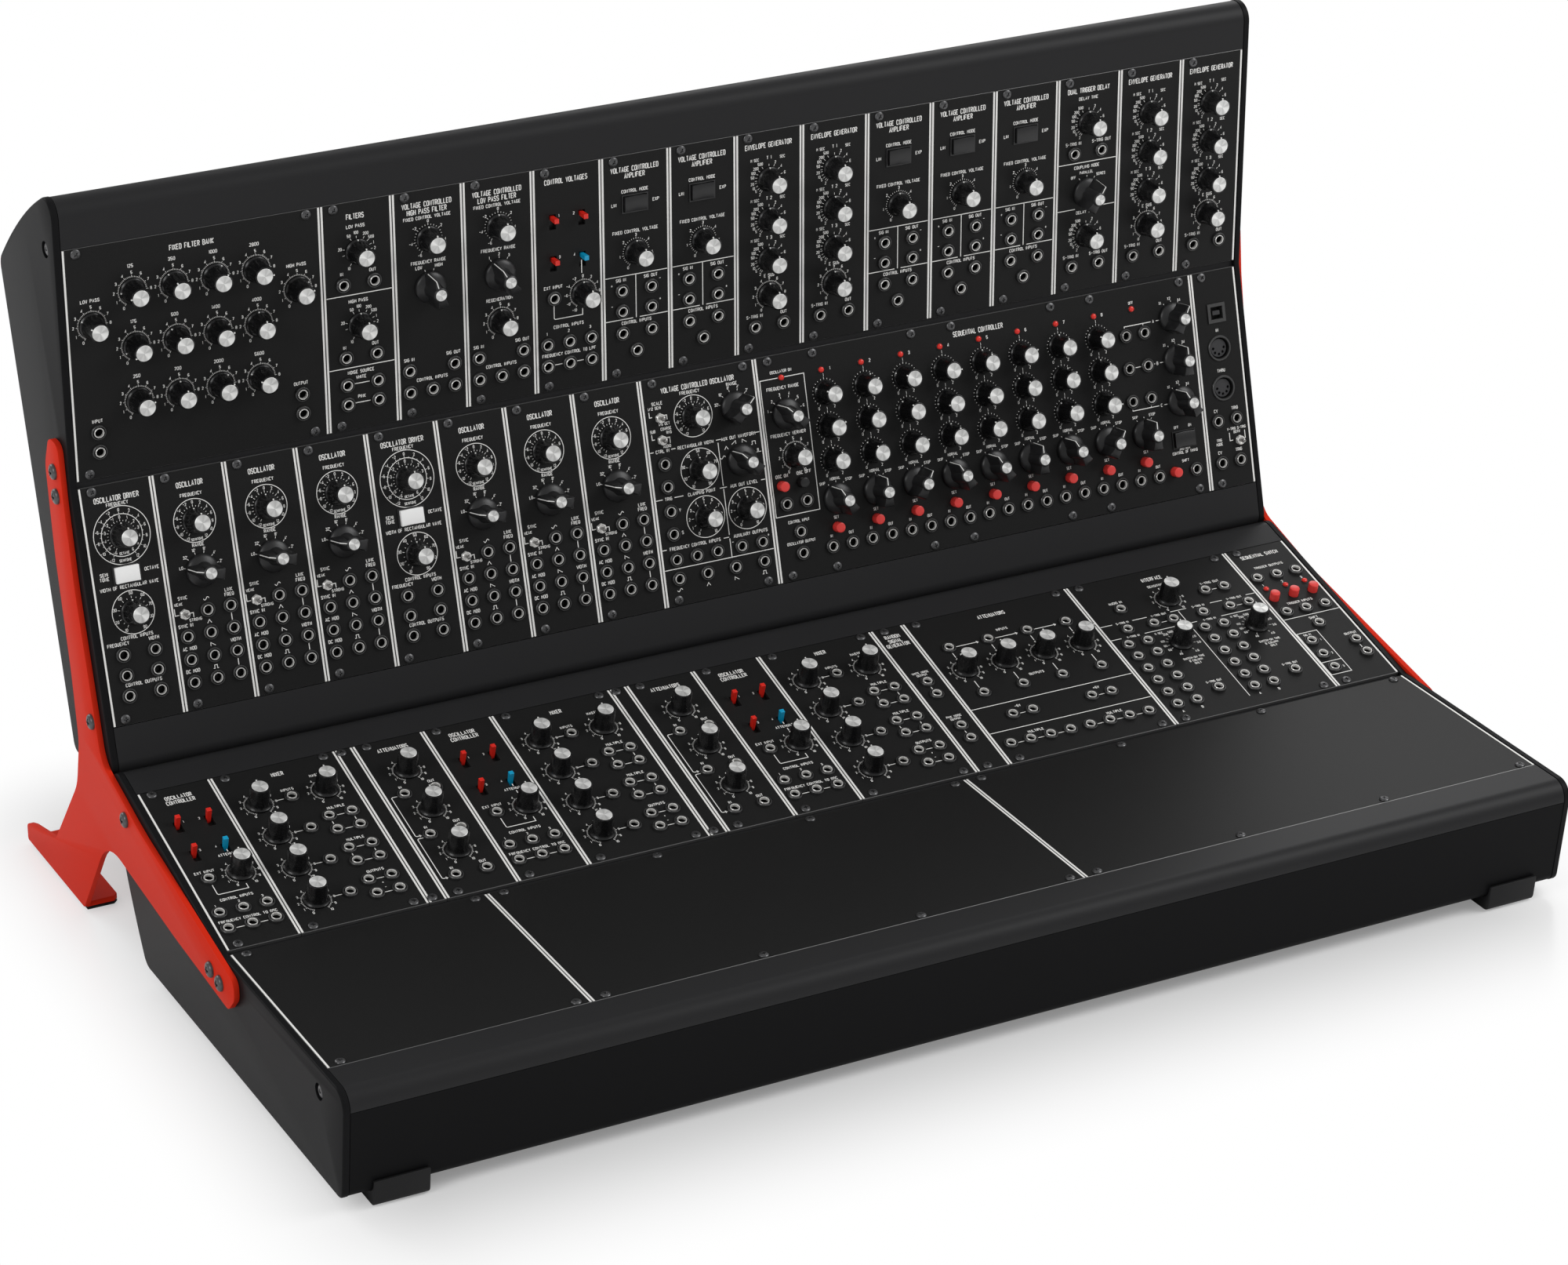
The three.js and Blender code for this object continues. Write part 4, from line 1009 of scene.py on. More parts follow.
panel_black = finish("panel_black", as_seen(29, 29, 29), 0.45, gloss=0.14, shade=0.36, pits=0.1)
bare_edge = finish("bare_edge", as_seen(105, 105, 105), 0.4, metal=0.6, grain=0.4, shade=0.2)
jack_hole = 3.3
shaft_hole = 3.2
rocker_width = 13.8
rocker_height = 8.6
slide_width = 3.3
slide_length = 3.6
slide_travel = 4.4
slot_room = 0.7
button_radius = 2.9
button_room = 0.3
toggle_hole = 2.7
din_radius = 6.6
usb_width = 8.6
usb_height = 8.2
lamp_radius = 1.8
hole_shapes = {
    "jack": circle(jack_hole),
    "knob": circle(shaft_hole, sides=12),
    "pointer": circle(shaft_hole, sides=12),
    "rocker": oblong(rocker_width + slot_room, rocker_height + slot_room),
    "slide": oblong(
        slide_width + slot_room, slide_length + slide_travel + slot_room, 0, -slide_travel / 2,
    ),
    "button": circle(button_radius + button_room),
    "toggle": circle(toggle_hole),
    "din": circle(din_radius, sides=32),
    "usb": oblong(usb_width, usb_height),
    "lamp": circle(lamp_radius, sides=12),
}
for panel_name in dict.fromkeys(node for _, node, _, _ in modules):
    plates = []
    for row, node, kind, left in modules:
        if node != panel_name:
            continue
        slots, _, places = kinds[kind]
        wide = slots * slot
        holes = [
            [(across * wide + x, up * panel_height + y) for x, y in hole_shapes[control]]
            for control, spots in places.items()
            for across, up in spots
        ]
        points, faces, bare = drilled(panel_gap, wide - panel_gap, panel_height, holes)
        laid = on_panel(row, (points,), left)[0]
        plates.append((laid, faces + bare, [0] * len(faces) + [1] * len(bare)))
    piece(
        panel_name + "_panels", plates, [panel_black, bare_edge],
        crease=20, replaces=[panel_name],
    )


# Two screws or more hold each panel to the rails, through the two rows of holes 3 mm from its
# ends: black steel pan heads with a cross, each turned as it happened to end up.
panel_screw_heights = (3.2, 125.5)
panel_screw_radius = 2.7
panel_screw_dome = 1.3
screw_turn_step = 37
cross_repeats = 90
panel_screw = crossed_screw(panel_screw_radius, panel_screw_dome)
for row in row_names:
    heads = [
        on_panel(
            row, panel_screw, left + across, height,
            (across * screw_turn_step + height) % cross_repeats,
        )
        for module_row, _, kind, left in modules if module_row == row
        for across in kinds[kind][1] for height in panel_screw_heights
    ]
    piece(row + "_screws", heads, [screw_black])


# A 3.5 mm jack is a round nut of dull nickel about a bright turned sleeve, with a black moulded
# body behind it. The nut clamps it in the panel's hole.
jack_sides = 20
jack_nut = turned([
    (4.1, -0.1), (4.1, 1.2), (3.85, 1.5), (3.55, 1.5), (3.4, 1.2), (3.4, -0.1),
], jack_sides, hollow=True)
jack_sleeve = turned([
    (2.75, 0.1), (2.75, 1.75), (2.6, 1.95), (2.42, 1.95), (2.2, 1.5), (2.2, 0.1),
], jack_sides, hollow=True)
jack_body = turned([(3.25, -4.4), (3.25, 0.2), (2.18, 0.2), (2.18, -4.0)], jack_sides)
nut_nickel = finish("nut_nickel", as_seen(84, 84, 84), 0.36, metal=0.75, shade=0.2)
sleeve_bright = finish("sleeve_bright", as_seen(246, 245, 242), 0.3, metal=0.6, shade=0.04)
socket_black = finish("socket_black", as_seen(18, 18, 18), 0.5, shade=0.2)
for row in row_names[:3]:
    parts = []
    for look, shape in enumerate((jack_nut, jack_sleeve, jack_body)):
        parts += [
            (*on_panel(row, shape, across, up), look)
            for jack_row, across, up, *_ in controls["jack"] if jack_row == row
        ]
    piece(row + "_jacks", parts, [nut_nickel, sleeve_bright, socket_black])


# A knob is a moulded black skirt and a fluted grip with a spun aluminium disc let into its top,
# whose colour carries painted highlight sectors. A white dot on the grip's rim and another on the
# skirt show how far it is turned.
knob_sides = 50
knob_flutes = 10
knob_body = turned([
    (7, 0.3), (7, 1), (6.75, 1.25), (6.35, 1.6), (6.05, 2.4),
    (6.0, 3.2, 0.28), (5.4, 12.2, 0.24), (5.15, 12.6, 0.1), (4.75, 12.72),
], knob_sides, waves=knob_flutes)
knob_disc = turned([(4.4, 12.5), (4.4, 12.86), (4.25, 12.98), (2.4, 12.94), (0.3, 12.9)], knob_sides)
dot_foot = (0.75, 0.8)
dot_top = (0.7, 0.75)
dot_places = ((5.0, 12.2, 12.86), (6.5, 0.9, 1.72))
knob_dots = [
    skin([
        [(x, y, low) for x, y in oblong(*dot_foot, 0, middle)],
        [(x, y, high) for x, y in oblong(*dot_top, 0, middle)],
    ])
    for middle, low, high in dot_places
]
knob_black = finish("knob_black", as_seen(14, 14, 15), 0.28, shade=0.2, pits=0.03)
index_white = finish("index_white", as_seen(235, 235, 232), 0.5, shade=0.03)
spun_metal_painted_sheen = finish("spun_metal_painted_sheen", as_seen(225, 225, 223), 0.36, metal=0.4, grain=0.4, shade=0.05)
# Painted highlight: the disc's base colour swings between bright and dark sectors round its middle.
spun_stretch = 0.75
painted_sheen_mean = 0.66
painted_sheen_waves = ((2, 1.1, 0.2), (4, 2.4, 0.13), (7, 0.6, 0.08))
disc_look = 1
spun_links, spun_nodes = spun_metal_painted_sheen.node_tree.links, spun_metal_painted_sheen.node_tree.nodes
spun_coat = spun_nodes["Principled BSDF"]
spun_coat.inputs["Anisotropic"].default_value = spun_stretch
lathe_lines = spun_nodes.new("ShaderNodeTangent")
lathe_lines.direction_type = "UV_MAP"
lathe_lines.uv_map = "lathe"
spun_links.new(lathe_lines.outputs["Tangent"], spun_coat.inputs["Tangent"])
around_disc = spun_nodes.new("ShaderNodeUVMap")
around_disc.uv_map = "lathe"
disc_turn = spun_nodes.new("ShaderNodeSeparateXYZ")
spun_links.new(around_disc.outputs["UV"], disc_turn.inputs[0])
painted_sheen_sum = None
for sectors, phase, strength in painted_sheen_waves:
    swing = spun_nodes.new("ShaderNodeMath")
    swing.operation = "MULTIPLY_ADD"
    swing.inputs[1].default_value = 2 * math.pi * sectors
    swing.inputs[2].default_value = phase
    bright = spun_nodes.new("ShaderNodeMath")
    bright.operation = "COSINE"
    scaled = spun_nodes.new("ShaderNodeMath")
    scaled.operation = "MULTIPLY_ADD"
    scaled.inputs[1].default_value = strength
    scaled.inputs[2].default_value = painted_sheen_mean if painted_sheen_sum is None else 0
    spun_links.new(disc_turn.outputs["X"], swing.inputs[0])
    spun_links.new(swing.outputs[0], bright.inputs[0])
    spun_links.new(bright.outputs[0], scaled.inputs[0])
    if painted_sheen_sum is not None:
        spun_links.new(painted_sheen_sum, scaled.inputs[2])
    painted_sheen_sum = scaled.outputs[0]
painted_sheen_tone = spun_nodes.new("ShaderNodeMixRGB")
painted_sheen_tone.inputs["Color1"].default_value = as_seen(150, 150, 149)
painted_sheen_tone.inputs["Color2"].default_value = as_seen(255, 255, 253)
spun_links.new(painted_sheen_sum, painted_sheen_tone.inputs["Fac"])
spun_links.new(painted_sheen_tone.outputs["Color"], spun_coat.inputs["Base Color"])


lathe_ring_step = 0.1


def round_the_lathe(made, sides):
    """Marks which way the lathe turned, for skins whose rings have equally many points."""
    corners = np.empty(len(made.data.loops), int)
    made.data.loops.foreach_get("vertex_index", corners)
    turn_and_ring = np.column_stack(((corners % sides) / sides, corners // sides * lathe_ring_step))
    starts = np.array([face.loop_start for face in made.data.polygons if face.loop_total == 4])
    quads = starts[:, None] + np.arange(4)
    turn = turn_and_ring[quads, 0]
    seam = (np.ptp(turn, axis=1) > 0.5)[:, None] & (turn < 0.5)
    turn_and_ring[quads, 0] = np.where(seam, turn + 1, turn)
    around = made.data.uv_layers.new(name="lathe")
    around.data.foreach_set("uv", turn_and_ring.ravel())


def stand_knobs(control, name, lathe_shapes, loose_shapes, finishes):
    """The moving controls of a kind as pieces of their own, and the others row by row."""
    spots = controls[control]
    groups = [([spot], spot[4]) for spot in spots if spot[4]]
    groups += [([s for s in spots if s[0] == row and not s[4]], None) for row in row_names]
    for group, mover in groups:
        if not group:
            continue
        parts = []
        for shapes in (lathe_shapes, loose_shapes):
            for row, across, up, turn, *_ in group:
                for shape, look in shapes:
                    # The discs are laid unturned, so that their painted highlight sectors lie the same way
                    # on every knob.
                    laid = on_panel(row, shape, across, up, 0 if look == disc_look else turn)
                    parts.append((*laid, look))
        if mover:
            made = piece(mover + "_moulding", parts, finishes, mover, replaces=[mover])
        else:
            made = piece(f"{group[0][0]}_{name}", parts, finishes)
        round_the_lathe(made, knob_sides)


stand_knobs(
    "knob", "knobs",
    [(knob_body, 0), (knob_disc, disc_look)],
    [(dot, 2) for dot in knob_dots],
    [knob_black, spun_metal_painted_sheen, index_white],
)


# A pointer knob turns a stepped switch: a domed black disc moulded in one with a grip across it,
# which narrows to a steep point, with a white line along it and a spun disc let into its middle,
# its colour painted with the same highlight sectors.
pointer_base = turned([
    (8.9, 0.3), (8.9, 1.5), (8.7, 2.0), (7.9, 2.7), (6.5, 3.4), (5.0, 3.9),
    (4.5, 4.9), (4.05, 14.0), (3.9, 14.7), (3.5, 15.05), (3.15, 15.1),
], knob_sides)
pointer_disc = turned([(3.1, 14.9), (3.1, 15.35), (2.95, 15.5), (1.6, 15.47), (0.3, 15.45)], knob_sides)
grip_stops = [
    (-8.7, 3.3, 3.0, 12.4), (-8.2, 3.7, 3.3, 13.2), (-6.2, 3.9, 2.7, 13.8), (-4.0, 4.1, 2.4, 14.3),
    (0, 4.3, 2.3, 14.4), (3.6, 3.7, 1.6, 14.4), (8.0, 2.0, 0.55, 14.4), (8.9, 1.3, 0.45, 3.0),
]
grip_foot = 1.0
grip_edge = 0.3
pointer_grip = eased(skin([
    [(-foot, y, grip_foot), (-half, y, high), (half, y, high), (foot, y, grip_foot)]
    for y, foot, half, high in grip_stops
]), grip_edge, sharper=35)
line_half = 0.25
line_rise = 0.12
pointer_line = skin([
    [(-line_half, y - out, high - line_rise), (-line_half, y + out, high + line_rise),
     (line_half, y + out, high + line_rise), (line_half, y - out, high - line_rise)]
    for y, high, out in ((3.6, 14.4, 0), (7.9, 14.4, 0), (8.05, 14.1, 0.12), (8.85, 3.2, 0.12))
])
pointer_black = finish("pointer_black", as_seen(31, 31, 32), 0.38, shade=0.15, pits=0.03)
stand_knobs(
    "pointer", "pointers",
    [(pointer_base, 0), (pointer_disc, disc_look)],
    [(pointer_grip, 0), (pointer_line, 2)],
    [pointer_black, spun_metal_painted_sheen, index_white],
)


# Rocker switches snap into slots in the panel: a moulded frame and a paddle that dips in the
# middle. They are black, but white on the oscillator drivers.
rocker_proud = 2.2
rocker_dip = 1
rocker_root = 2.6
rocker_play = 0.22
rocker_edge = 0.3
half_rocker = rocker_width / 2 - rocker_play
rocker_line = [
    (-half_rocker, -rocker_root), (half_rocker, -rocker_root), (half_rocker, rocker_proud),
    (0, rocker_proud - rocker_dip), (-half_rocker, rocker_proud),
]
rocker_paddle = eased(skin([
    [(x, y, z) for x, z in rocker_line] for y in (rocker_height / 2, -rocker_height / 2)
]), rocker_edge, sharper=40)


def frame_round(wide, high, border, low, top):
    """A closed flat frame round an opening."""
    out_line, in_line = oblong(wide + 2 * border, high + 2 * border), oblong(wide, high)
    rings = [
        [(x, y, z) for x, y in line]
        for line, z in ((out_line, low), (out_line, top), (in_line, top), (in_line, low))
    ]
    return skin(rings, closed=True)


frame_room = 0.5
frame_border = 0.7
frame_root = -0.1
frame_proud = 0.55
rocker_frame = frame_round(
    rocker_width + frame_room, rocker_height + frame_room, frame_border, frame_root, frame_proud,
)
rocker_black = finish("rocker_black", as_seen(28, 28, 29), 0.3, shade=0.2)
rocker_white = finish("rocker_white", as_seen(254, 254, 253), 0.35, shade=0.01)
for row, across, up, _, mover, kind, _ in controls["rocker"]:
    look = rocker_white if kind == "driver" else rocker_black
    place = f"{row}_{round(across)}"
    paddle = on_panel(row, rocker_paddle, across, up)
    if mover:
        piece(mover + "_paddle", [paddle], [look], mover, replaces=[mover])
    else:
        piece("rocker_paddle_" + place, [paddle], [look])
    framed = on_panel(row, rocker_frame, across, up)
    piece("rocker_frame_" + place, [framed], [rocker_black])


# Slide switches stand through slots: a small moulded post, square at the top and a little
# narrower at its root, over a black body that closes the slot from behind. Three of the four on
# a controller are red and the fourth is blue.
slide_stops = ((2.2, -3), (2.65, 5.8))
slide_edge = 0.15
slide_body_size = (8, 12)
slide_body_heights = (-5.5, -3.2)
slide_body_edge = 0.3
slide_cap = eased(skin([
    [(x, y, z) for x, y in oblong(width, width)] for width, z in slide_stops
]), slide_edge, steps=1, sharper=50)
slide_body = eased(skin([
    [(x, y, z) for x, y in oblong(*slide_body_size, 0, -slide_travel / 2)] for z in slide_body_heights
]), slide_body_edge, steps=1, sharper=50)
slide_red = finish("slide_red", as_seen(226, 40, 28), 0.34, shade=0.05)
slide_blue = finish("slide_blue", as_seen(10, 160, 205), 0.34, shade=0.05)
for row in ("top_row", "third_row"):
    here = [spot for spot in controls["slide"] if spot[0] == row]
    caps = [
        (*on_panel(row, slide_cap, across, up), 1 if number == 3 else 0)
        for _, across, up, _, mover, _, number in here if not mover
    ]
    piece(row + "_slide_caps", caps, [slide_red, slide_blue])
    bodies = [on_panel(row, slide_body, across, up) for _, across, up, *_ in here]
    piece(row + "_slide_bodies", bodies, [socket_black])
    for _, across, up, _, mover, _, _ in here:
        if mover:
            moved = on_panel(row, slide_cap, across, up)
            piece(mover + "_cap", [moved], [slide_red], mover, replaces=[mover])


# Push buttons are short moulded stubs that stand through round holes on a spring, each with its
# rim broken. They are red, but for one black one.
button_proud = 4.7
button_root = 1.9
button_edge = 0.5
button_round = 0.15
button = turned([
    (button_radius, -button_root),
    (button_radius, button_proud - button_edge),
    (button_radius - button_round, button_proud - button_round),
    (button_radius - button_edge, button_proud),
])
button_red = finish("button_red", as_seen(228, 62, 58), 0.3, shade=0.05)
button_black = finish("button_black", as_seen(26, 26, 27), 0.3, shade=0.2)
dark_button = 10
for row, across, up, _, mover, kind, number in controls["button"]:
    look = button_black if kind == "sequencer" and number == dark_button else button_red
    stub = on_panel(row, button, across, up)
    if mover:
        piece(mover + "_stub", [stub], [look], mover, replaces=[mover])
    else:
        piece(f"{kind}_button_{number}", [stub], [look])


# A toggle switch is a short turned steel bat that stands in a threaded bush, which a bright
# hexagonal nut clamps to the panel. The body behind the panel isn't seen.
nut_radius = 3.0
nut_height = 1.5
nut_edge = 0.2
nut_turns = [math.radians(60 * n + 30) for n in range(6)]
small_sides = 20
toggle_nut = eased(skin([
    [(nut_radius * math.cos(t), nut_radius * math.sin(t), z) for t in nut_turns] for z in (0, nut_height)
]), nut_edge, steps=1, sharper=50)
toggle_bush = turned([
    (2.6, 1.4), (2.6, 2.3), (2.4, 2.5), (1.9, 2.5), (1.7, 2.2), (1.7, 1.4),
], small_sides, hollow=True)
toggle_bat = turned([
    (0.8, 0), (0.85, 1.8), (0.95, 3), (1.15, 4.6), (1.2, 5.3), (1.05, 5.8), (0.6, 6.05),
], small_sides)
steel = finish("steel", as_seen(150, 148, 146), 0.25, metal=0.8, grain=0.4, shade=0.1)
for row, across, up, _, mover, _, _ in controls["toggle"]:
    place = f"{row}_{round(across)}_{round(up)}"
    nut = [on_panel(row, shape, across, up) for shape in (toggle_nut, toggle_bush)]
    piece("toggle_nut_" + place, nut, [sleeve_bright])
    bat = on_panel(row, toggle_bat, across, up)
    if mover:
        piece(mover + "_bat", [bat], [steel], mover, replaces=[mover])
    else:
        piece("toggle_bat_" + place, [bat], [steel])


# Small red lamps show which step runs: each is a moulded dome that is pushed through the panel
# from behind, with a thin black bezel round it.
lamp_dome = turned([
    (1.65, -0.8), (1.65, 0.5), (1.5, 0.95), (1.05, 1.3), (0.5, 1.45),
], small_sides)
lamp_bezel = turned([
    (2.1, -0.1), (2.1, 0.15), (2.0, 0.25), (1.75, 0.25), (1.75, -0.1),
], small_sides, hollow=True)
lamp_red = finish("lamp_red", as_seen(226, 48, 38), 0.2, shade=0.05)
for row in ("second_row", "third_row"):
    parts = []
    for row_here, across, up, *_ in controls["lamp"]:
        if row_here == row:
            parts.append((*on_panel(row, lamp_dome, across, up), 0))
            parts.append((*on_panel(row, lamp_bezel, across, up), 1))
    piece(row + "_lamps", parts, [lamp_red, rocker_black])


# Two round five-pin sockets and one square data socket, set in from behind the panel: nickel
# flanges round black cavities, with a dark grey moulded insert in each.
din_sides = 40
din_flange = turned([
    (7.6, -0.1), (7.6, 0.5), (7.3, 0.8), (6.45, 0.8), (6.45, -0.1),
], din_sides, hollow=True)
din_wall = turned([(6.5, -5), (6.5, 0.2), (6.1, 0.2), (6.1, -4.6)], din_sides)
din_insert = turned([(5.5, -4.7), (5.5, -1.2), (5.2, -0.9)])
pin_sides = 12
pin_radius = 0.85
pin_heights = (-3, 0.5)
pin_ring = 3.6
pin_turns = (-90, -45, 0, 45, 90)
pin_holes = []
for turn in pin_turns:
    points, faces = turned([(pin_radius, height) for height in pin_heights], pin_sides)
    t = math.radians(turn)
    pin_holes.append((points + (pin_ring * math.sin(t), -pin_ring * math.cos(t), 0), faces))
din_insert = carved(din_insert, pin_holes)
usb_flange_lap = 0.6
usb_flange = 1.9
usb_flange_heights = (-0.1, 0.7)
usb_wall_lap = 0.9
usb_wall_thickness = 0.4
usb_wall_heights = (-5, 0.3)
usb_back_heights = (-5.6, -5)
tongue_size = (5, 2.6)
tongue_heights = (-5, 0)
tongue_edge = 0.2
usb_frame = frame_round(
    usb_width - usb_flange_lap, usb_height - usb_flange_lap, usb_flange, *usb_flange_heights,
)
usb_wall = frame_round(
    usb_width - usb_wall_lap, usb_height - usb_wall_lap, usb_wall_thickness, *usb_wall_heights,
)
usb_back = skin([[(x, y, z) for x, y in oblong(usb_width, usb_height)] for z in usb_back_heights])
usb_tongue = eased(skin([
    [(x, y, z) for x, y in oblong(*tongue_size)] for z in tongue_heights
]), tongue_edge, steps=1)
insert_grey = finish("insert_grey", as_seen(46, 46, 48), 0.5, shade=0.1)
sockets = []
for row, across, up, *_ in controls["din"]:
    for shape, look in ((din_flange, 0), (din_wall, 1), (din_insert, 2)):
        sockets.append((*on_panel(row, shape, across, up), look))
for row, across, up, *_ in controls["usb"]:
    for shape, look in ((usb_frame, 0), (usb_wall, 0), (usb_back, 1), (usb_tongue, 2)):
        sockets.append((*on_panel(row, shape, across, up), look))
piece("data_sockets", sockets, [nut_nickel, socket_black, insert_grey])


# The panels are screen printed in white: titles, function words, dials round the knobs, lines
# between jacks that belong together, and a stripe down both sides of every panel.
ink_rise = 0.05
ink_root = -0.1
rule_width = 0.46
ring_width = 0.4
ring_sides = 48
glyph_units = 6
glyphs = {
    "A": "00 26 40|12 32", "B": "00 06 36 45 44 33 03|33 42 41 30 00", "C": "45 36 16 05 01 10 30 41",
    "D": "00 06 36 45 41 30 00", "E": "46 06 00 40|03 33", "F": "46 06 00|03 33",
    "G": "45 36 16 05 01 10 30 41 43 23", "H": "06 00|46 40|03 43", "I": "06 00",
    "J": "46 41 30 10 01", "K": "06 00|46 03 40", "L": "06 00 40", "M": "00 06 23 46 40",
    "N": "00 06 40 46", "O": "16 05 01 10 30 41 45 36 16", "P": "00 06 36 45 44 33 03",
    "Q": "16 05 01 10 30 41 45 36 16|22 40", "R": "00 06 36 45 44 33 03|23 40",
    "S": "45 36 16 05 04 13 33 42 41 30 10 01", "T": "06 46|26 20", "U": "06 01 10 30 41 46",
    "V": "06 20 46", "W": "06 10 23 30 46", "X": "06 40|00 46", "Y": "06 23 46|23 20",
    "Z": "06 46 00 40", "0": "16 05 01 10 30 41 45 36 16", "1": "05 16 10",
    "2": "05 16 36 45 44 00 40", "3": "05 16 36 45 44 33 42 41 30 10 01|13 33", "4": "30 36 01 41",
    "5": "46 06 03 33 42 41 30 10 01", "6": "45 36 16 05 01 10 30 41 42 33 03", "7": "06 46 10",
    "8": "13 04 05 16 36 45 44 33 13 02 01 10 30 41 42 33", "9": "01 10 30 41 45 36 16 05 04 13 43",
    "+": "21 25|03 43", "-": "03 43", "/": "00 46", "'": "06 04", ".": "00 01",
}
narrow_glyphs = {"I": 0, "1": 1, "'": 0, ".": 0}
title_type = (3.1, 1.62, 0.44)
word_type = (2.0, 1.38, 0.31)
digit_type = (1.7, 1.2, 0.28)
small_type = (1.75, 1.12, 0.26)
tight_type = (1.5, 0.94, 0.24)
letter_gap = 0.5
glyph_width = 4
glyph_middle = 3
space_share = 0.7
least_way = 0.3
least_mitre = 0.6


def stroke(path, width=rule_width, closed=False):
    """A printed line through places on a panel, its corners mitred."""
    path = np.asarray(path, float)
    if closed:
        way_in, way_out = path - np.roll(path, 1, 0), np.roll(path, -1, 0) - path
    else:
        legs = np.diff(path, axis=0)
        way_in, way_out = np.vstack((legs[:1], legs)), np.vstack((legs, legs[-1:]))
    way_in = way_in / np.linalg.norm(way_in, axis=1)[:, None]
    way_out = way_out / np.linalg.norm(way_out, axis=1)[:, None]
    way = way_in + way_out
    way = way / np.maximum(np.linalg.norm(way, axis=1), least_way)[:, None]
    spread = width / 2 / np.maximum((way * way_in).sum(1), least_mitre)
    side = np.column_stack((way[:, 1], -way[:, 0])) * spread[:, None]
    rings = [
        [(*(p + s), ink_rise), (*(p + s), ink_root), (*(p - s), ink_root), (*(p - s), ink_rise)]
        for p, s in zip(path, side)
    ]
    return skin([np.array(ring) for ring in rings], closed)


def letters(text, x, up, kind=word_type):
    """Words in a plain stroked alphabet, centred on a place."""
    height, advance, width = kind
    cell = advance - letter_gap * advance / word_type[1]
    gap = advance - cell
    scale_x, scale_y = cell / glyph_width, (height - width) / glyph_units
    widths = [
        cell * space_share if letter == " "
        else cell * narrow_glyphs.get(letter, glyph_width) / glyph_width
        for letter in text
    ]
    pen = x - (sum(widths) + gap * (len(text) - 1)) / 2
    made = []
    for letter, wide in zip(text, widths):
        for line in glyphs.get(letter, "").split("|"):
            spots = [
                (pen + int(spot[0]) * scale_x, up + (int(spot[1]) - glyph_middle) * scale_y)
                for spot in line.split()
            ]
            if spots:
                made.append(stroke(spots, width))
        pen += wide + gap
    return made


def words(*places, kind=word_type):
    """Several words, each with its own place."""
    return [mark for text, x, up in places for mark in letters(text, x, up, kind)]


def title(text, x, up):
    """A module's name, in the largest letters."""
    return letters(text, x, up, title_type)


def rules(*lines, width=rule_width):
    """Plain printed lines."""
    return [stroke(line, width) for line in lines]


def across_rules(up, *ends):
    """Level lines, each from one column to another."""
    return [stroke([(low, up), (high, up)]) for low, high in ends]


def ring(x, up, radius):
    """A printed circle."""
    return [stroke(circle(radius, x, up, ring_sides), ring_width, closed=True)]


def polar(x, up, radius, turn):
    """A place at a radius, a clockwise turn from straight up."""
    angle = math.radians(turn)
    return x + radius * math.sin(angle), up + radius * math.cos(angle)


tick_width = 0.24
fan_width = 0.3
long_number_step = 0.35


def dial(x, up, labels, minor=6, reach=9.9, inner=7.4, short=8.1, long=8.7, kind=digit_type):
    """Ticks and numbers round a knob; labels are clockwise turns and their numbers."""
    made = []
    first, last = labels[0][0], labels[-1][0]
    stops = [turn for turn, _ in labels]
    if minor:
        count = round((last - first) / minor)
        stops += [first + minor * n for n in range(count + 1)]
    drawn = set()
    for number, turn in enumerate(stops):
        key = round(turn * 2)
        if key in drawn:
            continue
        drawn.add(key)
        end = long if number < len(labels) else short
        made.append(stroke([polar(x, up, inner, turn), polar(x, up, end, turn)], tick_width))
    for turn, text in labels:
        if text:
            away = reach + long_number_step * (len(text) - 1)
            made += letters(text, *polar(x, up, away, turn), kind)
    return made


ten = [(30 * n - 150, str(n)) for n in range(11)]
six = [(50 * n - 150, str(n)) for n in range(7)]
six_each_way = [(50 * n - 150, str(2 * n - 6)) for n in range(7)]
ten_each_way = [(30 * n - 150, str(2 * n - 10)) for n in range(11)]
twelve_each_way = [(25 * n - 150, str(2 * n - 12)) for n in range(13)]
octaves = [(25 * n - 150, str(n - 6)) for n in range(13)]
widths = [(37.5 * n - 150, str(10 * n + 10)) for n in range(9)]
cutoffs = [
    (-150, "10"), (-100, ""), (-76, "20"), (-27, "50"), (-3, "100"), (28, "200"), (49, "500"),
    (69, "1"), (88, "2"), (115, "5"), (150, "10"),
]
times = [
    (-146, "2"), (-138, ""), (-127, "5"), (-114, "10"), (-99, "20"), (-91, ""), (-78, "50"),
    (-64, "100"), (-49, "200"), (-30, "500"), (0, ""), (23, "2"), (49, "4"), (76, "6"),
    (103, "8"), (130, "10"),
]
delays = [
    (-150, "40"), (-112, "60"), (-90, "80"), (-67, "100"), (-48, ""), (-28, "250"), (-5, "500"),
    (30, "1.0"), (75, "2.0"), (105, "3.0"), (150, "4.0"),
]


def fan(x, up, marks, inner=9.2, outer=10.3, reach=11.6, kind=digit_type):
    """The few marks of a stepped switch."""
    made = []
    for turn, text in marks:
        made.append(stroke([polar(x, up, inner, turn), polar(x, up, outer, turn)], fan_width))
        made += letters(text, *polar(x, up, reach, turn), kind)
    return made


sign_width = 0.34
sine_reach = 1.6
sine_rise = 0.8
wave_reach = 1.5
wave_rise = 0.9


def sine(x, up):
    """A sine wave's sign."""
    curve = [
        (x + sine_reach * t / 8, up + sine_rise * math.sin(math.pi * t / 8)) for t in range(-8, 9)
    ]
    return rules(curve, width=sign_width)


def wave(x, up, *corners):
    """A wave's sign, from corners in units of its half width and height."""
    line = [(x + wave_reach * a, up + wave_rise * b) for a, b in corners]
    return rules(line, width=sign_width)


def triangle(x, up):
    """A triangle wave's sign."""
    return wave(x, up, (-0.75, -1), (0, 1), (0.75, -1))


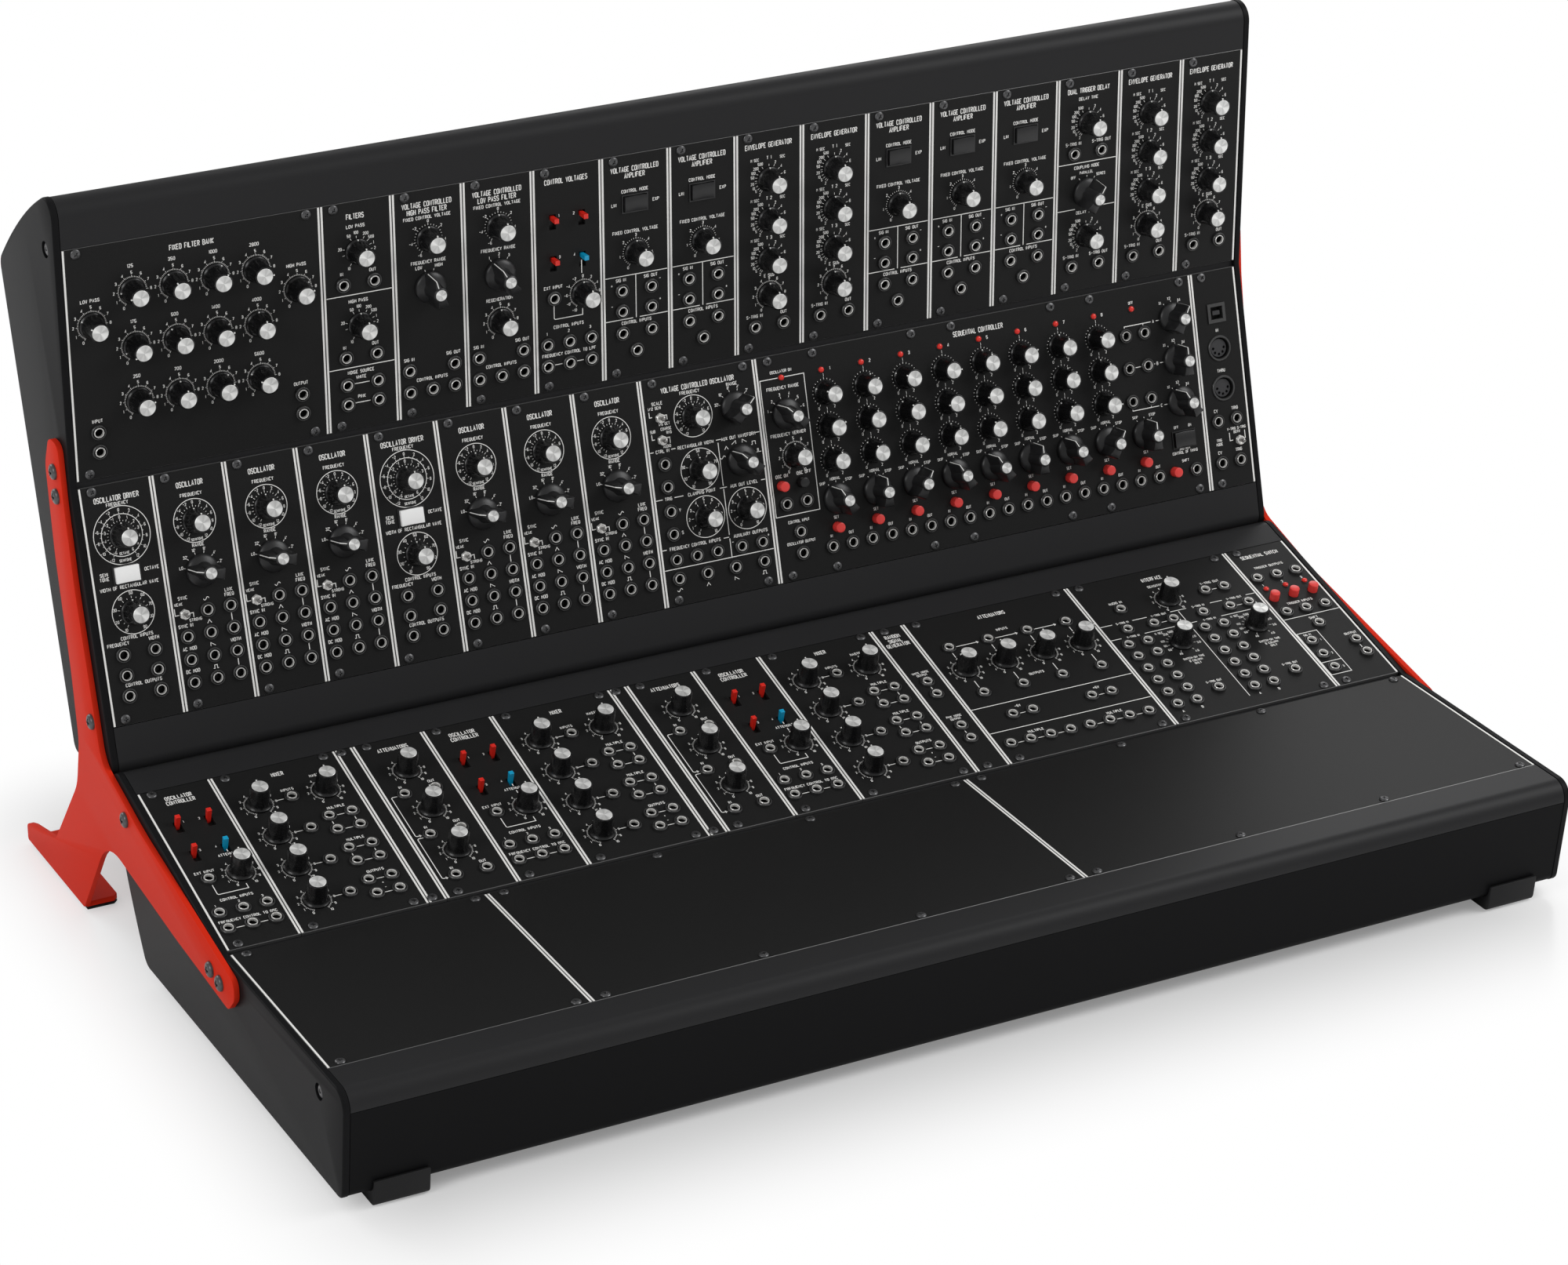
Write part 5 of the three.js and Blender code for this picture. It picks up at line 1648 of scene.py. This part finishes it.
def rising(x, up):
    """The sign of a wave that rises and drops."""
    return wave(x, up, (-1, -1), (0.7, 1), (0.8, -1))


def falling(x, up):
    """The sign of a wave that jumps and falls."""
    return wave(x, up, (-0.8, -1), (-0.7, 1), (1, -1))


def pulse(x, up, share=0.0):
    """A pulse's sign, wider or narrower by a share."""
    return wave(x, up, (-1, -1), (-0.5, -1), (-0.5, 1), (0.5 + share, 1), (0.5 + share, -1), (1, -1))


def knob_places(kind, control="knob"):
    """The knobs of a kind of module, in millimetres from its lower left corner."""
    slots, _, places = kinds[kind]
    return [(across * slots * slot, up * panel_height) for across, up in places[control]]


def pointer_places(kind):
    """The pointer knobs of a kind of module, in the same way."""
    return knob_places(kind, "pointer")


# What is printed on each kind of module, in millimetres from its lower left corner.
prints = {}
bank = title("FIXED FILTER BANK", 70.5, 120.2)
for column, names in (
    (36.5, ("125", "175", "250")), (59.2, ("350", "500", "700")),
    (82, ("1000", "1400", "2000")), (104.8, ("2800", "4000", "5600")),
):
    for up, name in zip((114.2, 83.6, 53.2), names):
        bank += letters(name, column, up)
bank += words(
    ("LOW PASS", 13.6, 98.8), ("HIGH PASS", 127.7, 98.8), ("INPUT", 13.6, 32.1), ("OUTPUT", 127.4, 32.1),
)
for spot in knob_places("bank"):
    bank += dial(*spot, ten, reach=10.2)
prints["bank"] = bank

prints["filter"] = (
    title("FILTERS", 19.6, 120.2)
    + words(
        ("LOW PASS", 19.6, 114.6), ("HIGH PASS", 19.6, 72.8), ("IN", 10.8, 88.9), ("OUT", 28.5, 88.9),
        ("IN", 10.8, 47.3), ("OUT", 28.5, 47.3), ("NOISE SOURCE", 19.6, 32.7), ("WHITE", 19.6, 29.5),
        ("PINK", 19.6, 18.4),
    )
    + across_rules(76.5, (1.6, 39)) + across_rules(35.5, (1.6, 39)) + across_rules(26, (15.3, 24.3))
    + across_rules(15, (15.3, 24.3))
)
for spot in knob_places("filter"):
    prints["filter"] += dial(*spot, cutoffs, minor=0, kind=small_type)

for kind, name in (("high_pass", "HIGH PASS FILTER"), ("low_pass", "LOW PASS FILTER")):
    marks = (
        title("VOLTAGE CONTROLLED", 19.9, 120.2) + title(name, 19.9, 116.4)
        + words(
            ("FIXED CONTROL VOLTAGE", 19.9, 112.8), ("FREQUENCY RANGE", 19.9, 87.7),
            ("SIG IN", 6.9, 33.6), ("SIG OUT", 32.7, 33.6), ("CONTROL INPUTS", 19.9, 21.2),
        )
        + dial(*knob_places(kind)[0], six_each_way, minor=12.5)
    )
    spot = pointer_places(kind)[0]
    if kind == "high_pass":
        marks += words(("LOW", 14.2, 84.8), ("HIGH", 25.8, 84.8))
        marks += fan(*spot, [(-15, ""), (15, "")])
    else:
        marks += fan(*spot, [(-30, "1"), (0, "2"), (30, "3")]) + letters("REGENERATION", 19.9, 59)
        marks += dial(*knob_places(kind)[1], ten)
    prints[kind] = marks

box_corner = 0.6
controller = (
    words(
        ("1", 15.3, 100.5), ("2", 24.1, 100.5), ("3", 15.3, 76.9), ("4", 24.1, 76.9), ("1", 6.8, 33.6),
        ("2", 19.8, 33.6), ("3", 32.7, 33.6), kind=digit_type,
    )
    + words(("EXT INPUT", 11.1, 60), ("CONTROL INPUTS", 19.8, 36.9))
    + rules([(11.3, 49.2), (11.3, 42), (11.3 + box_corner, 41.4), (28.3, 41.4), (28.3, 45)])
    + across_rules(15, (11, 15.6), (24, 28.4))
)
controller_spot = knob_places("controller")[0]
prints["controller", "top_row"] = (
    controller + title("CONTROL VOLTAGES", 19.8, 120.2) + rules([(28.2, 73), (28.2, 65.5)])
    + letters("FREQUENCY CONTROL TO LPF", 19.8, 21) + dial(*controller_spot, ten_each_way)
)
prints["controller", "third_row"] = (
    controller + title("OSCILLATOR", 20, 120.3) + title("CONTROLLER", 20, 116.5)
    + words(("ATTENUATOR", 29.2, 69.4), ("FREQUENCY CONTROL TO OSC", 19.8, 21))
    + rules([(28.6, 73), (28.6, 71.2)], [(28.6, 67.5), (28.6, 65.2)]) + dial(*controller_spot, ten)
)

prints["amplifier"] = (
    title("VOLTAGE CONTROLLED", 20, 120.2) + title("AMPLIFIER", 20, 116.4)
    + words(
        ("CONTROL MODE", 20, 107.6), ("LIN", 7.4, 100.5), ("EXP", 32.6, 100.5),
        ("FIXED CONTROL VOLTAGE", 20, 84.4), ("SIG IN", 10.9, 57), ("SIG OUT", 28.9, 57),
        ("+", 5.4, 54.4), ("-", 34.5, 54.4), ("-", 5.4, 42.4), ("+", 34.5, 42.4),
        ("CONTROL INPUTS", 20, 31.8),
    )
    + dial(*knob_places("amplifier")[0], six, minor=10) + across_rules(59.2, (1.6, 39))
    + across_rules(34, (1.6, 18), (22, 39)) + rules([(19.9, 59.2), (19.9, 34)])
)


def time_dial(x, up, name):
    """A dial in thousandths of a second on the left and in seconds on the right."""
    return (
        letters("M SEC", 11.6, up + 11.9, small_type) + letters("SEC", 28.6, up + 11.9, small_type)
        + letters(name, x, up + 12.4)
        + dial(x, up, times, minor=0, reach=10, kind=small_type)
    )


envelope = title("ENVELOPE GENERATOR", 20, 120.2)
for spot, name in zip(knob_places("envelope"), ("T 1", "T 2", "T 3")):
    envelope += time_dial(*spot, name)
envelope += dial(*knob_places("envelope")[3], ten) + letters("E SUS", 20.3, 44.2)
envelope += words(("S-TRIG IN", 11.2, 21.2), ("OUT", 29.3, 21.2))
prints["envelope"] = envelope

delay = (
    title("DUAL TRIGGER DELAY", 20, 120.2)
    + words(
        ("DELAY TIME", 20, 115.2), ("DELAY TIME", 20, 47.2), ("S-TRIG IN", 10.9, 89),
        ("S-TRIG OUT", 29.3, 89), ("S-TRIG IN", 10.9, 21.2), ("S-TRIG OUT", 29.3, 21.2),
        ("COUPLING MODE", 20, 74.4),
    )
    + across_rules(77.2, (1.6, 39)) + across_rules(49.6, (1.6, 13), (27, 39))
    + words(("PARALLEL", 19.9, 71), ("OFF", 11.4, 68.8), ("SERIES", 29.4, 68.8), kind=small_type)
    + fan(*pointer_places("delay")[0], [(-30, ""), (0, ""), (30, "")])
)
for spot in knob_places("delay"):
    delay += dial(*spot, times, minor=0, reach=10, kind=small_type)
prints["delay"] = delay

driver_spot, width_spot = knob_places("driver")
prints["driver"] = (
    title("OSCILLATOR DRIVER", 20.2, 120.4)
    + words(
        ("FREQUENCY", 20.2, 117.2), ("SEMI", 7.3, 81), ("TONE", 7.3, 78.6), ("OCTAVE", 33.8, 80.2),
        ("WIDTH OF RECTANGULAR WAVE", 20.3, 73), ("CONTROL INPUTS", 20.3, 45.9),
        ("FREQUENCY", 9.4, 43.2), ("WIDTH", 29.3, 43.2), ("CONTROL OUTPUTS", 20.3, 20.9),
    )
    + ring(*driver_spot, 15.6) + ring(*driver_spot, 11.3)
    + dial(
        *driver_spot, twelve_each_way, minor=12.5, reach=13.6,
        inner=11.3, short=12.0, long=12.4, kind=small_type,
    )
    + dial(*driver_spot, octaves, minor=12.5, reach=9.7, short=8.0, long=8.5, kind=small_type)
    + words(
        ("SEMITONE", driver_spot[0], driver_spot[1] - 13.4),
        ("OCTAVE", driver_spot[0], driver_spot[1] - 9.6), kind=tight_type,
    )
    + ring(*width_spot, 11.7) + dial(*width_spot, widths, minor=18.75, kind=small_type, reach=10)
)

oscillator_spot = knob_places("oscillator")[0]
footages = [(-75, "LO"), (-45, "32'"), (-15, "16'"), (15, "8'"), (45, "4'"), (75, "2'")]
prints["oscillator"] = (
    title("OSCILLATOR", 20.3, 120.4)
    + words(
        ("FREQUENCY", 20.3, 114.6), ("RANGE", 20.3, 87.4), ("SYNC", 7.4, 60.8), ("SYNC IN", 7, 45.7),
        ("AC MOD", 7.4, 33.3), ("DC MOD", 7.4, 21.1), ("LINK", 33.4, 60.6), ("FREQ", 33.4, 58),
        ("WIDTH", 33.4, 33.3),
    )
    + ring(*oscillator_spot, 11.7)
    + dial(*oscillator_spot, twelve_each_way, minor=12.5, kind=small_type, reach=10)
    + letters("SEMITONE", oscillator_spot[0], oscillator_spot[1] - 10, tight_type)
    + fan(*pointer_places("oscillator")[0], footages, kind=small_type)
    + words(("WEAK", 4.6, 57.7), ("STRONG", 13, 48.2), kind=digit_type)
    + rules([(2, 55.8), (2, 52), (4.2, 52)], [(10.2, 52), (12.2, 52), (12.2, 49.6)]) + sine(20.4, 58.1)
    + triangle(20.4, 45.7) + falling(20.4, 33.3) + pulse(20.4, 21)
    + rules([(33.1, 47.9), (33.1, 44)], [(33.1, 23), (33.1, 19.4)])
)

wide_footages = [(-75, "32'"), (-45, "16'"), (-15, "8'"), (15, "4'"), (45, "2'"), (75, "LO")]
wide = (
    title("VOLTAGE CONTROLLED OSCILLATOR", 35.2, 120.6)
    + words(
        ("FREQUENCY", 29.8, 117.2), ("RANGE", 55.9, 117.2), ("SCALE", 9.4, 114.2),
        ("CTRL IN", 9.2, 87.4), ("RECTANGULAR WIDTH", 29.6, 87.4), ("AUX OUT WAVEFORM", 56.1, 87.4),
        ("TRIG", 9.2, 60.5), ("CLAMPING POINT", 29.8, 60.5), ("AUX OUT LEVEL", 56.1, 60.5),
        ("FREQUENCY CONTROL INPUTS", 21.9, 32.3), ("AUXILIARY OUTPUTS", 56.4, 32.3), ("V", 15.3, 53.2),
        ("S", 15.3, 40.4), ("-", 44.9, 29.2), ("+", 67.2, 29.2),
    )
    + words(
        ("1/12 SEMI", 7.4, 111.7), ("1/6 OCT", 12.3, 102.4), ("COARSE", 13, 99.6), ("RNG", 14.6, 97.3),
        ("SUB", 4.8, 99), ("AUDIO", 12.4, 89.8), kind=small_type,
    )
    + rules([(3.9, 110), (3.9, 107), (5.5, 107)], [(11.3, 107), (14.4, 107), (14.4, 104.5)])
    + rules([(3.9, 97.5), (3.9, 94.5), (5.5, 94.5)], [(12, 94.5), (14.6, 94.5), (14.6, 91.2)])
    + across_rules(87.6, (1.6, 3.8), (14.6, 17.2), (42.3, 45.4), (66.8, 69.4))
    + rules([(43.3, 86), (43.3, 61.6)], [(43.3, 59.8), (43.3, 33.6)], [(43.3, 31.6), (43.3, 21)])
    + across_rules(60.6, (1.6, 5.6), (12.9, 18.4), (41, 45.4), (66.8, 69.4))
    + across_rules(32.4, (1.6, 4.2), (39.6, 43)) + across_rules(20.9, (1.6, 69.4)) + sine(9.3, 8.7)
    + triangle(27.1, 8.7) + falling(44.6, 8.7) + pulse(62.3, 8.7) + sine(45.2, 77.3)
    + triangle(48, 82.2) + rising(53, 84.4) + falling(59.3, 84.4) + pulse(64.9, 82.2, 0.3)
    + pulse(67.6, 77.5, -0.6)
    + fan(*pointer_places("wide_oscillator")[0], wide_footages, kind=small_type)
)
wide_labels = (twelve_each_way, widths, ten, ten)
for spot, labels in zip(knob_places("wide_oscillator"), wide_labels):
    wide += ring(*spot, 11.7)
    minor = 12.5 if labels is twelve_each_way else 0
    wide += dial(*spot, labels, minor=minor, kind=small_type, reach=10)
prints["wide_oscillator"] = wide

step_pitch = step_share * kinds["sequencer"][0] * slot
sequencer = (
    title("SEQUENTIAL CONTROLLER", 142.3, 120.4)
    + words(
        ("OSCILLATOR ON", 15.7, 118.8), ("CONTROL INPUT", 15.9, 33.4),
        ("OSCILLATOR OUTPUT", 15.9, 21.2), kind=small_type,
    )
    + rules([(13.4, 115.3), (2.2, 115.3), (2.2, 37.5), (29.8, 37.5), (29.8, 115.3), (17.6, 115.3)])
    + words(
        ("FREQUENCY RANGE", 15.8, 109.6), ("FREQUENCY VERNIER", 15.8, 83.2), ("OSC ON", 8.6, 60.2),
        ("OSC OFF", 22.6, 60.2),
    )
    + fan(*pointer_places("sequencer")[0], [(30 * n - 75, str(n + 1)) for n in range(6)], kind=small_type)
    + dial(*knob_places("sequencer")[0], ten, kind=small_type)
)
for step in range(8):
    x = 41.7 + step_pitch * step
    sequencer += letters(str(step + 1), x + 4.6, 115.3)
    sequencer += words(("SKIP", x - 8.6, 51.3), ("NORMAL", x - 0.3, 53), kind=small_type)
    sequencer += words(("STOP", x + 8.2, 51.3), ("SET", x - 2.2, 31.1), kind=small_type)
    sequencer += words(("IN", x - 6.6, 21), ("OUT", x + 6, 21), kind=small_type)
for x, text, up in (
    (238.4, "SKIP", 52.2), (249.8, "STOP", 52.2), (243.2, "SET", 31.1), (237.5, "IN", 21),
    (250.2, "OUT", 21), (243.4, "OFF", 118.8), (265, "OFF", 41.6), (274.2, "ON", 41.6),
    (269.4, "3RD ROW", 28.6), (269.4, "CONTROL OF TIMING", 26.4), (269, "SHIFT", 21.4),
):
    sequencer += letters(text, x, up, small_type)
for spot in knob_places("sequencer")[1:]:
    sequencer += dial(*spot, [(-150, "0"), (0, "1"), (150, "2")], minor=15, reach=9.9, kind=small_type)
for x, up in pointer_places("sequencer")[1:10]:
    sequencer += fan(x, up, [(-30, ""), (0, ""), (30, "")], outer=10)
range_x = pointer_places("sequencer")[10][0]
for up in (105.9, 81.2, 56.5):
    for offset_x, offset_up, text in ((-7.3, 9.4, "X1"), (-1, 11.2, "X2"), (5.6, 9.4, "X4")):
        sequencer += letters(text, range_x + offset_x, up + offset_up, small_type)
    sequencer += fan(range_x, up, [(-30, ""), (0, ""), (30, "")], outer=9.9)
sequencer += rules([(237.5, 104.8), (237.5, 105.7), (255.3, 105.7)], [(250, 105.7), (250, 104.6)])
sequencer += across_rules(105.7, (258.8, 260.8)) + letters("A", 257, 105.7)
sequencer += across_rules(81, (241.8, 245.8), (254.2, 255.4), (258.8, 260.8)) + letters("B", 257, 81)
sequencer += rules([(237.5, 57), (237.5, 56.2), (255.3, 56.2)], [(250, 56.2), (250, 57.2)])
sequencer += across_rules(56.2, (258.8, 260.8)) + letters("C", 257, 56.2)
prints["sequencer"] = sequencer

prints["midi"] = (
    words(
        ("IN", 14.6, 93.2), ("THRU", 14.6, 69.4), ("CV", 8.3, 46.2), ("TRIG", 21.2, 46.2),
        ("CV", 8.3, 21.4), ("TRIG", 21.2, 21.4),
    )
    + words(
        ("V-TRIG S-TRIG", 21, 34.1), ("BOTH", 21, 32), ("TRIG", 8.6, 28.7), ("MODE", 8.6, 26.3),
        kind=small_type,
    )
    + rules([(15.9, 32), (15.9, 27.3), (18, 27.3)], [(24.6, 27.3), (26.4, 27.3), (26.4, 32)])
)

mixer = (
    title("MIXER", 35.2, 120.5)
    + words(
        ("INPUTS", 35.4, 107.1), ("MASTER", 54.6, 113.4), ("MULTIPLE", 54.5, 86.2),
        ("MULTIPLE", 54.5, 59.5), ("OUTPUTS", 54.5, 32.8),
    )
    + words(("+", 54.6, 22.7), ("-", 54.6, 18.9), kind=digit_type)
    + rules(
        [(48.2, 75.8), (48.2, 73.2)], [(61, 75.8), (61, 73.2)],
        [(48.2, 49.3), (48.2, 46.7)], [(61, 49.3), (61, 46.7)],
    )
)
for up in (100.6, 74, 47.5, 21):
    mixer += across_rules(up, (27, 31))
for up in (79.7, 68.3, 53, 41.9, 26.4, 15.3):
    mixer += across_rules(up, (52.5, 56.8))
for spot in knob_places("mixer"):
    mixer += dial(*spot, ten)
prints["mixer"] = mixer

attenuator = title("ATTENUATORS", 20.2, 120.5)
for up in (89.4, 55.4, 21.4):
    attenuator += words(("IN", 11.4, up), ("OUT", 29.2, up))
for up in (83, 48):
    attenuator += rules(
        [(7, up), (4.2, up), (3.6, up - box_corner), (3.6, up - 32.4), (4.2, up - 33), (6.6, up - 33)],
        [(5.7, up - 32.2), (6.7, up - 33), (5.7, up - 33.8)],
    )
for spot in knob_places("attenuator"):
    attenuator += dial(*spot, ten)
prints["attenuator"] = attenuator

prints["random"] = (
    title("RANDOM", 10, 120.6) + title("SIGNAL", 10, 116.8) + title("GENERATOR", 10, 113)
    + words(
        ("WHITE NOISE", 10, 86.8), ("OUTPUT", 10, 84.5), ("PINK NOISE", 10, 46.8),
        ("OUTPUT", 10, 44.5), kind=small_type,
    )
    + rules([(9.9, 73.6), (9.9, 71.2)], [(9.9, 33.6), (9.9, 31.2)])
)

outputs = (
    title("ATTENUATORS", 53.4, 120.5)
    + words(
        ("INPUTS", 53.2, 107.2), ("OUTPUTS", 53.1, 66), ("-6V", 28.4, 43.6), ("+6V", 79, 43.6),
        ("MULTIPLE", 27.8, 21.4), ("MULTIPLE", 78.2, 21.4),
    )
    + across_rules(48.1, (1.6, 104.8)) + across_rules(26.5, (1.6, 104.8))
    + across_rules(37.3, (26.4, 30.2), (77, 81))
    + across_rules(15.1, (13.2, 17), (26, 29.8), (38.7, 42.5), (64, 67.8), (76.6, 80.4), (89.3, 93))
)
for low, high in ((19.9, 34.6), (45.2, 59.9), (70.3, 85)):
    outputs += across_rules(101, (low, high))
    outputs += rules([(high - 1.1, 101.9), (high, 101), (high - 1.1, 100.1)])
for spot in knob_places("wide_attenuator"):
    outputs += rules([(spot[0], 96.4), (spot[0], 92.4)], [(spot[0], 70.6), (spot[0], 64.6)])
    outputs += dial(*spot, ten)
prints["wide_attenuator"] = outputs

interface = (
    title("INTERFACE", 53.2, 120.6)
    + words(("SENSITIVITY", 53, 114.2), ("AUDIO IN", 21.2, 107.2), ("V-TRIG OUT", 84.4, 107.2))
    + across_rules(100.8, (82.6, 85.8))
    + across_rules(90, (1.6, 9.4), (22.8, 32.4), (48, 58.6), (74.8, 82.8), (99, 105))
    + rules([(53, 89), (53, 77.8)], [(53, 76.6), (53, 9)]) + across_rules(83.2, (38.4, 42), (89, 92.6))
    + across_rules(77.4, (1.6, 8.4), (23.8, 51.4), (54.6, 58.6), (75, 104.8))
    + words(("V-TRIG IN", 16.1, 77.2), ("V-TRIG IN", 66.9, 77.2), kind=small_type)
)
for x, text in ((16.1, "S-TRIG IN"), (40.2, "V-TRIG OUT"), (66.7, "S-TRIG IN"), (90.9, "V-TRIG OUT")):
    interface += letters(text, x, 89.9, small_type)
for x in (40, 90.6):
    for text, offset, up in (
        ("SWITCH-ON TIME", 0, 49.4), ("B COLUMN", 0, 46.9), ("ONLY", 0, 44.4),
        ("M SEC", -8.4, 74.8), ("S-TRIG OUT", 0, 27.1),
    ):
        interface += letters(text, x + offset, up, small_type)
for x, text in ((9.5, "A"), (22, "B"), (60, "A"), (72.6, "B")):
    interface += letters(text, x, 9.2)
interface_knobs = knob_places("interface")
interface += dial(*interface_knobs[0], ten)
for spot in interface_knobs[1:]:
    interface += dial(*spot, delays, minor=0, kind=small_type)
prints["interface"] = interface

prints["switch"] = (
    title("SEQUENTIAL SWITCH", 19.9, 120.6)
    + words(
        ("TRIGGER OUTPUTS", 19.9, 110), ("TRIGGER INPUTS", 19.9, 74.8), ("SHIFT", 19.7, 59.2),
        ("OUTPUT", 32.8, 39.8),
    )
    + across_rules(62.2, (1.6, 39))
    + rules([(1.6, 48.4), (15.1, 48.4), (15.1, 9.9), (1.6, 9.9), (1.6, 48.4)], [(1.6, 21.2), (15.1, 21.2)])
    + letters("SIG IN", 7.4, 46.2, small_type) + rules([(32.6, 29), (32.6, 26)])
)
for number, x in enumerate((6.9, 19.9, 32.9)):
    prints["switch"] += letters(str(number + 1), x, 94.4)
    prints["switch"] += letters(str(number + 1), 12.8, 40 - 12.5 * number, small_type)

stripe_width = 1.05
stripe_inset = 0.35
stripe_end = 0.35
print_white = finish("print_white", as_seen(242, 241, 238), 0.5, grain=0.4, shade=0.04)
for row in row_names:
    inked = []
    for module_row, _, kind, left in modules:
        if module_row != row:
            continue
        marks = prints.get(kind, prints.get((kind, row), []))
        inked += [on_panel(row, mark, left) for mark in marks]
        wide = kinds[kind][0] * slot
        middle = stripe_inset + stripe_width / 2
        for x in (middle, wide - middle):
            stripe = stroke([(x, stripe_end), (x, panel_height - stripe_end)], stripe_width)
            inked.append(on_panel(row, stripe, left))
    piece(row + "_printing", inked, [print_white], crease=60)
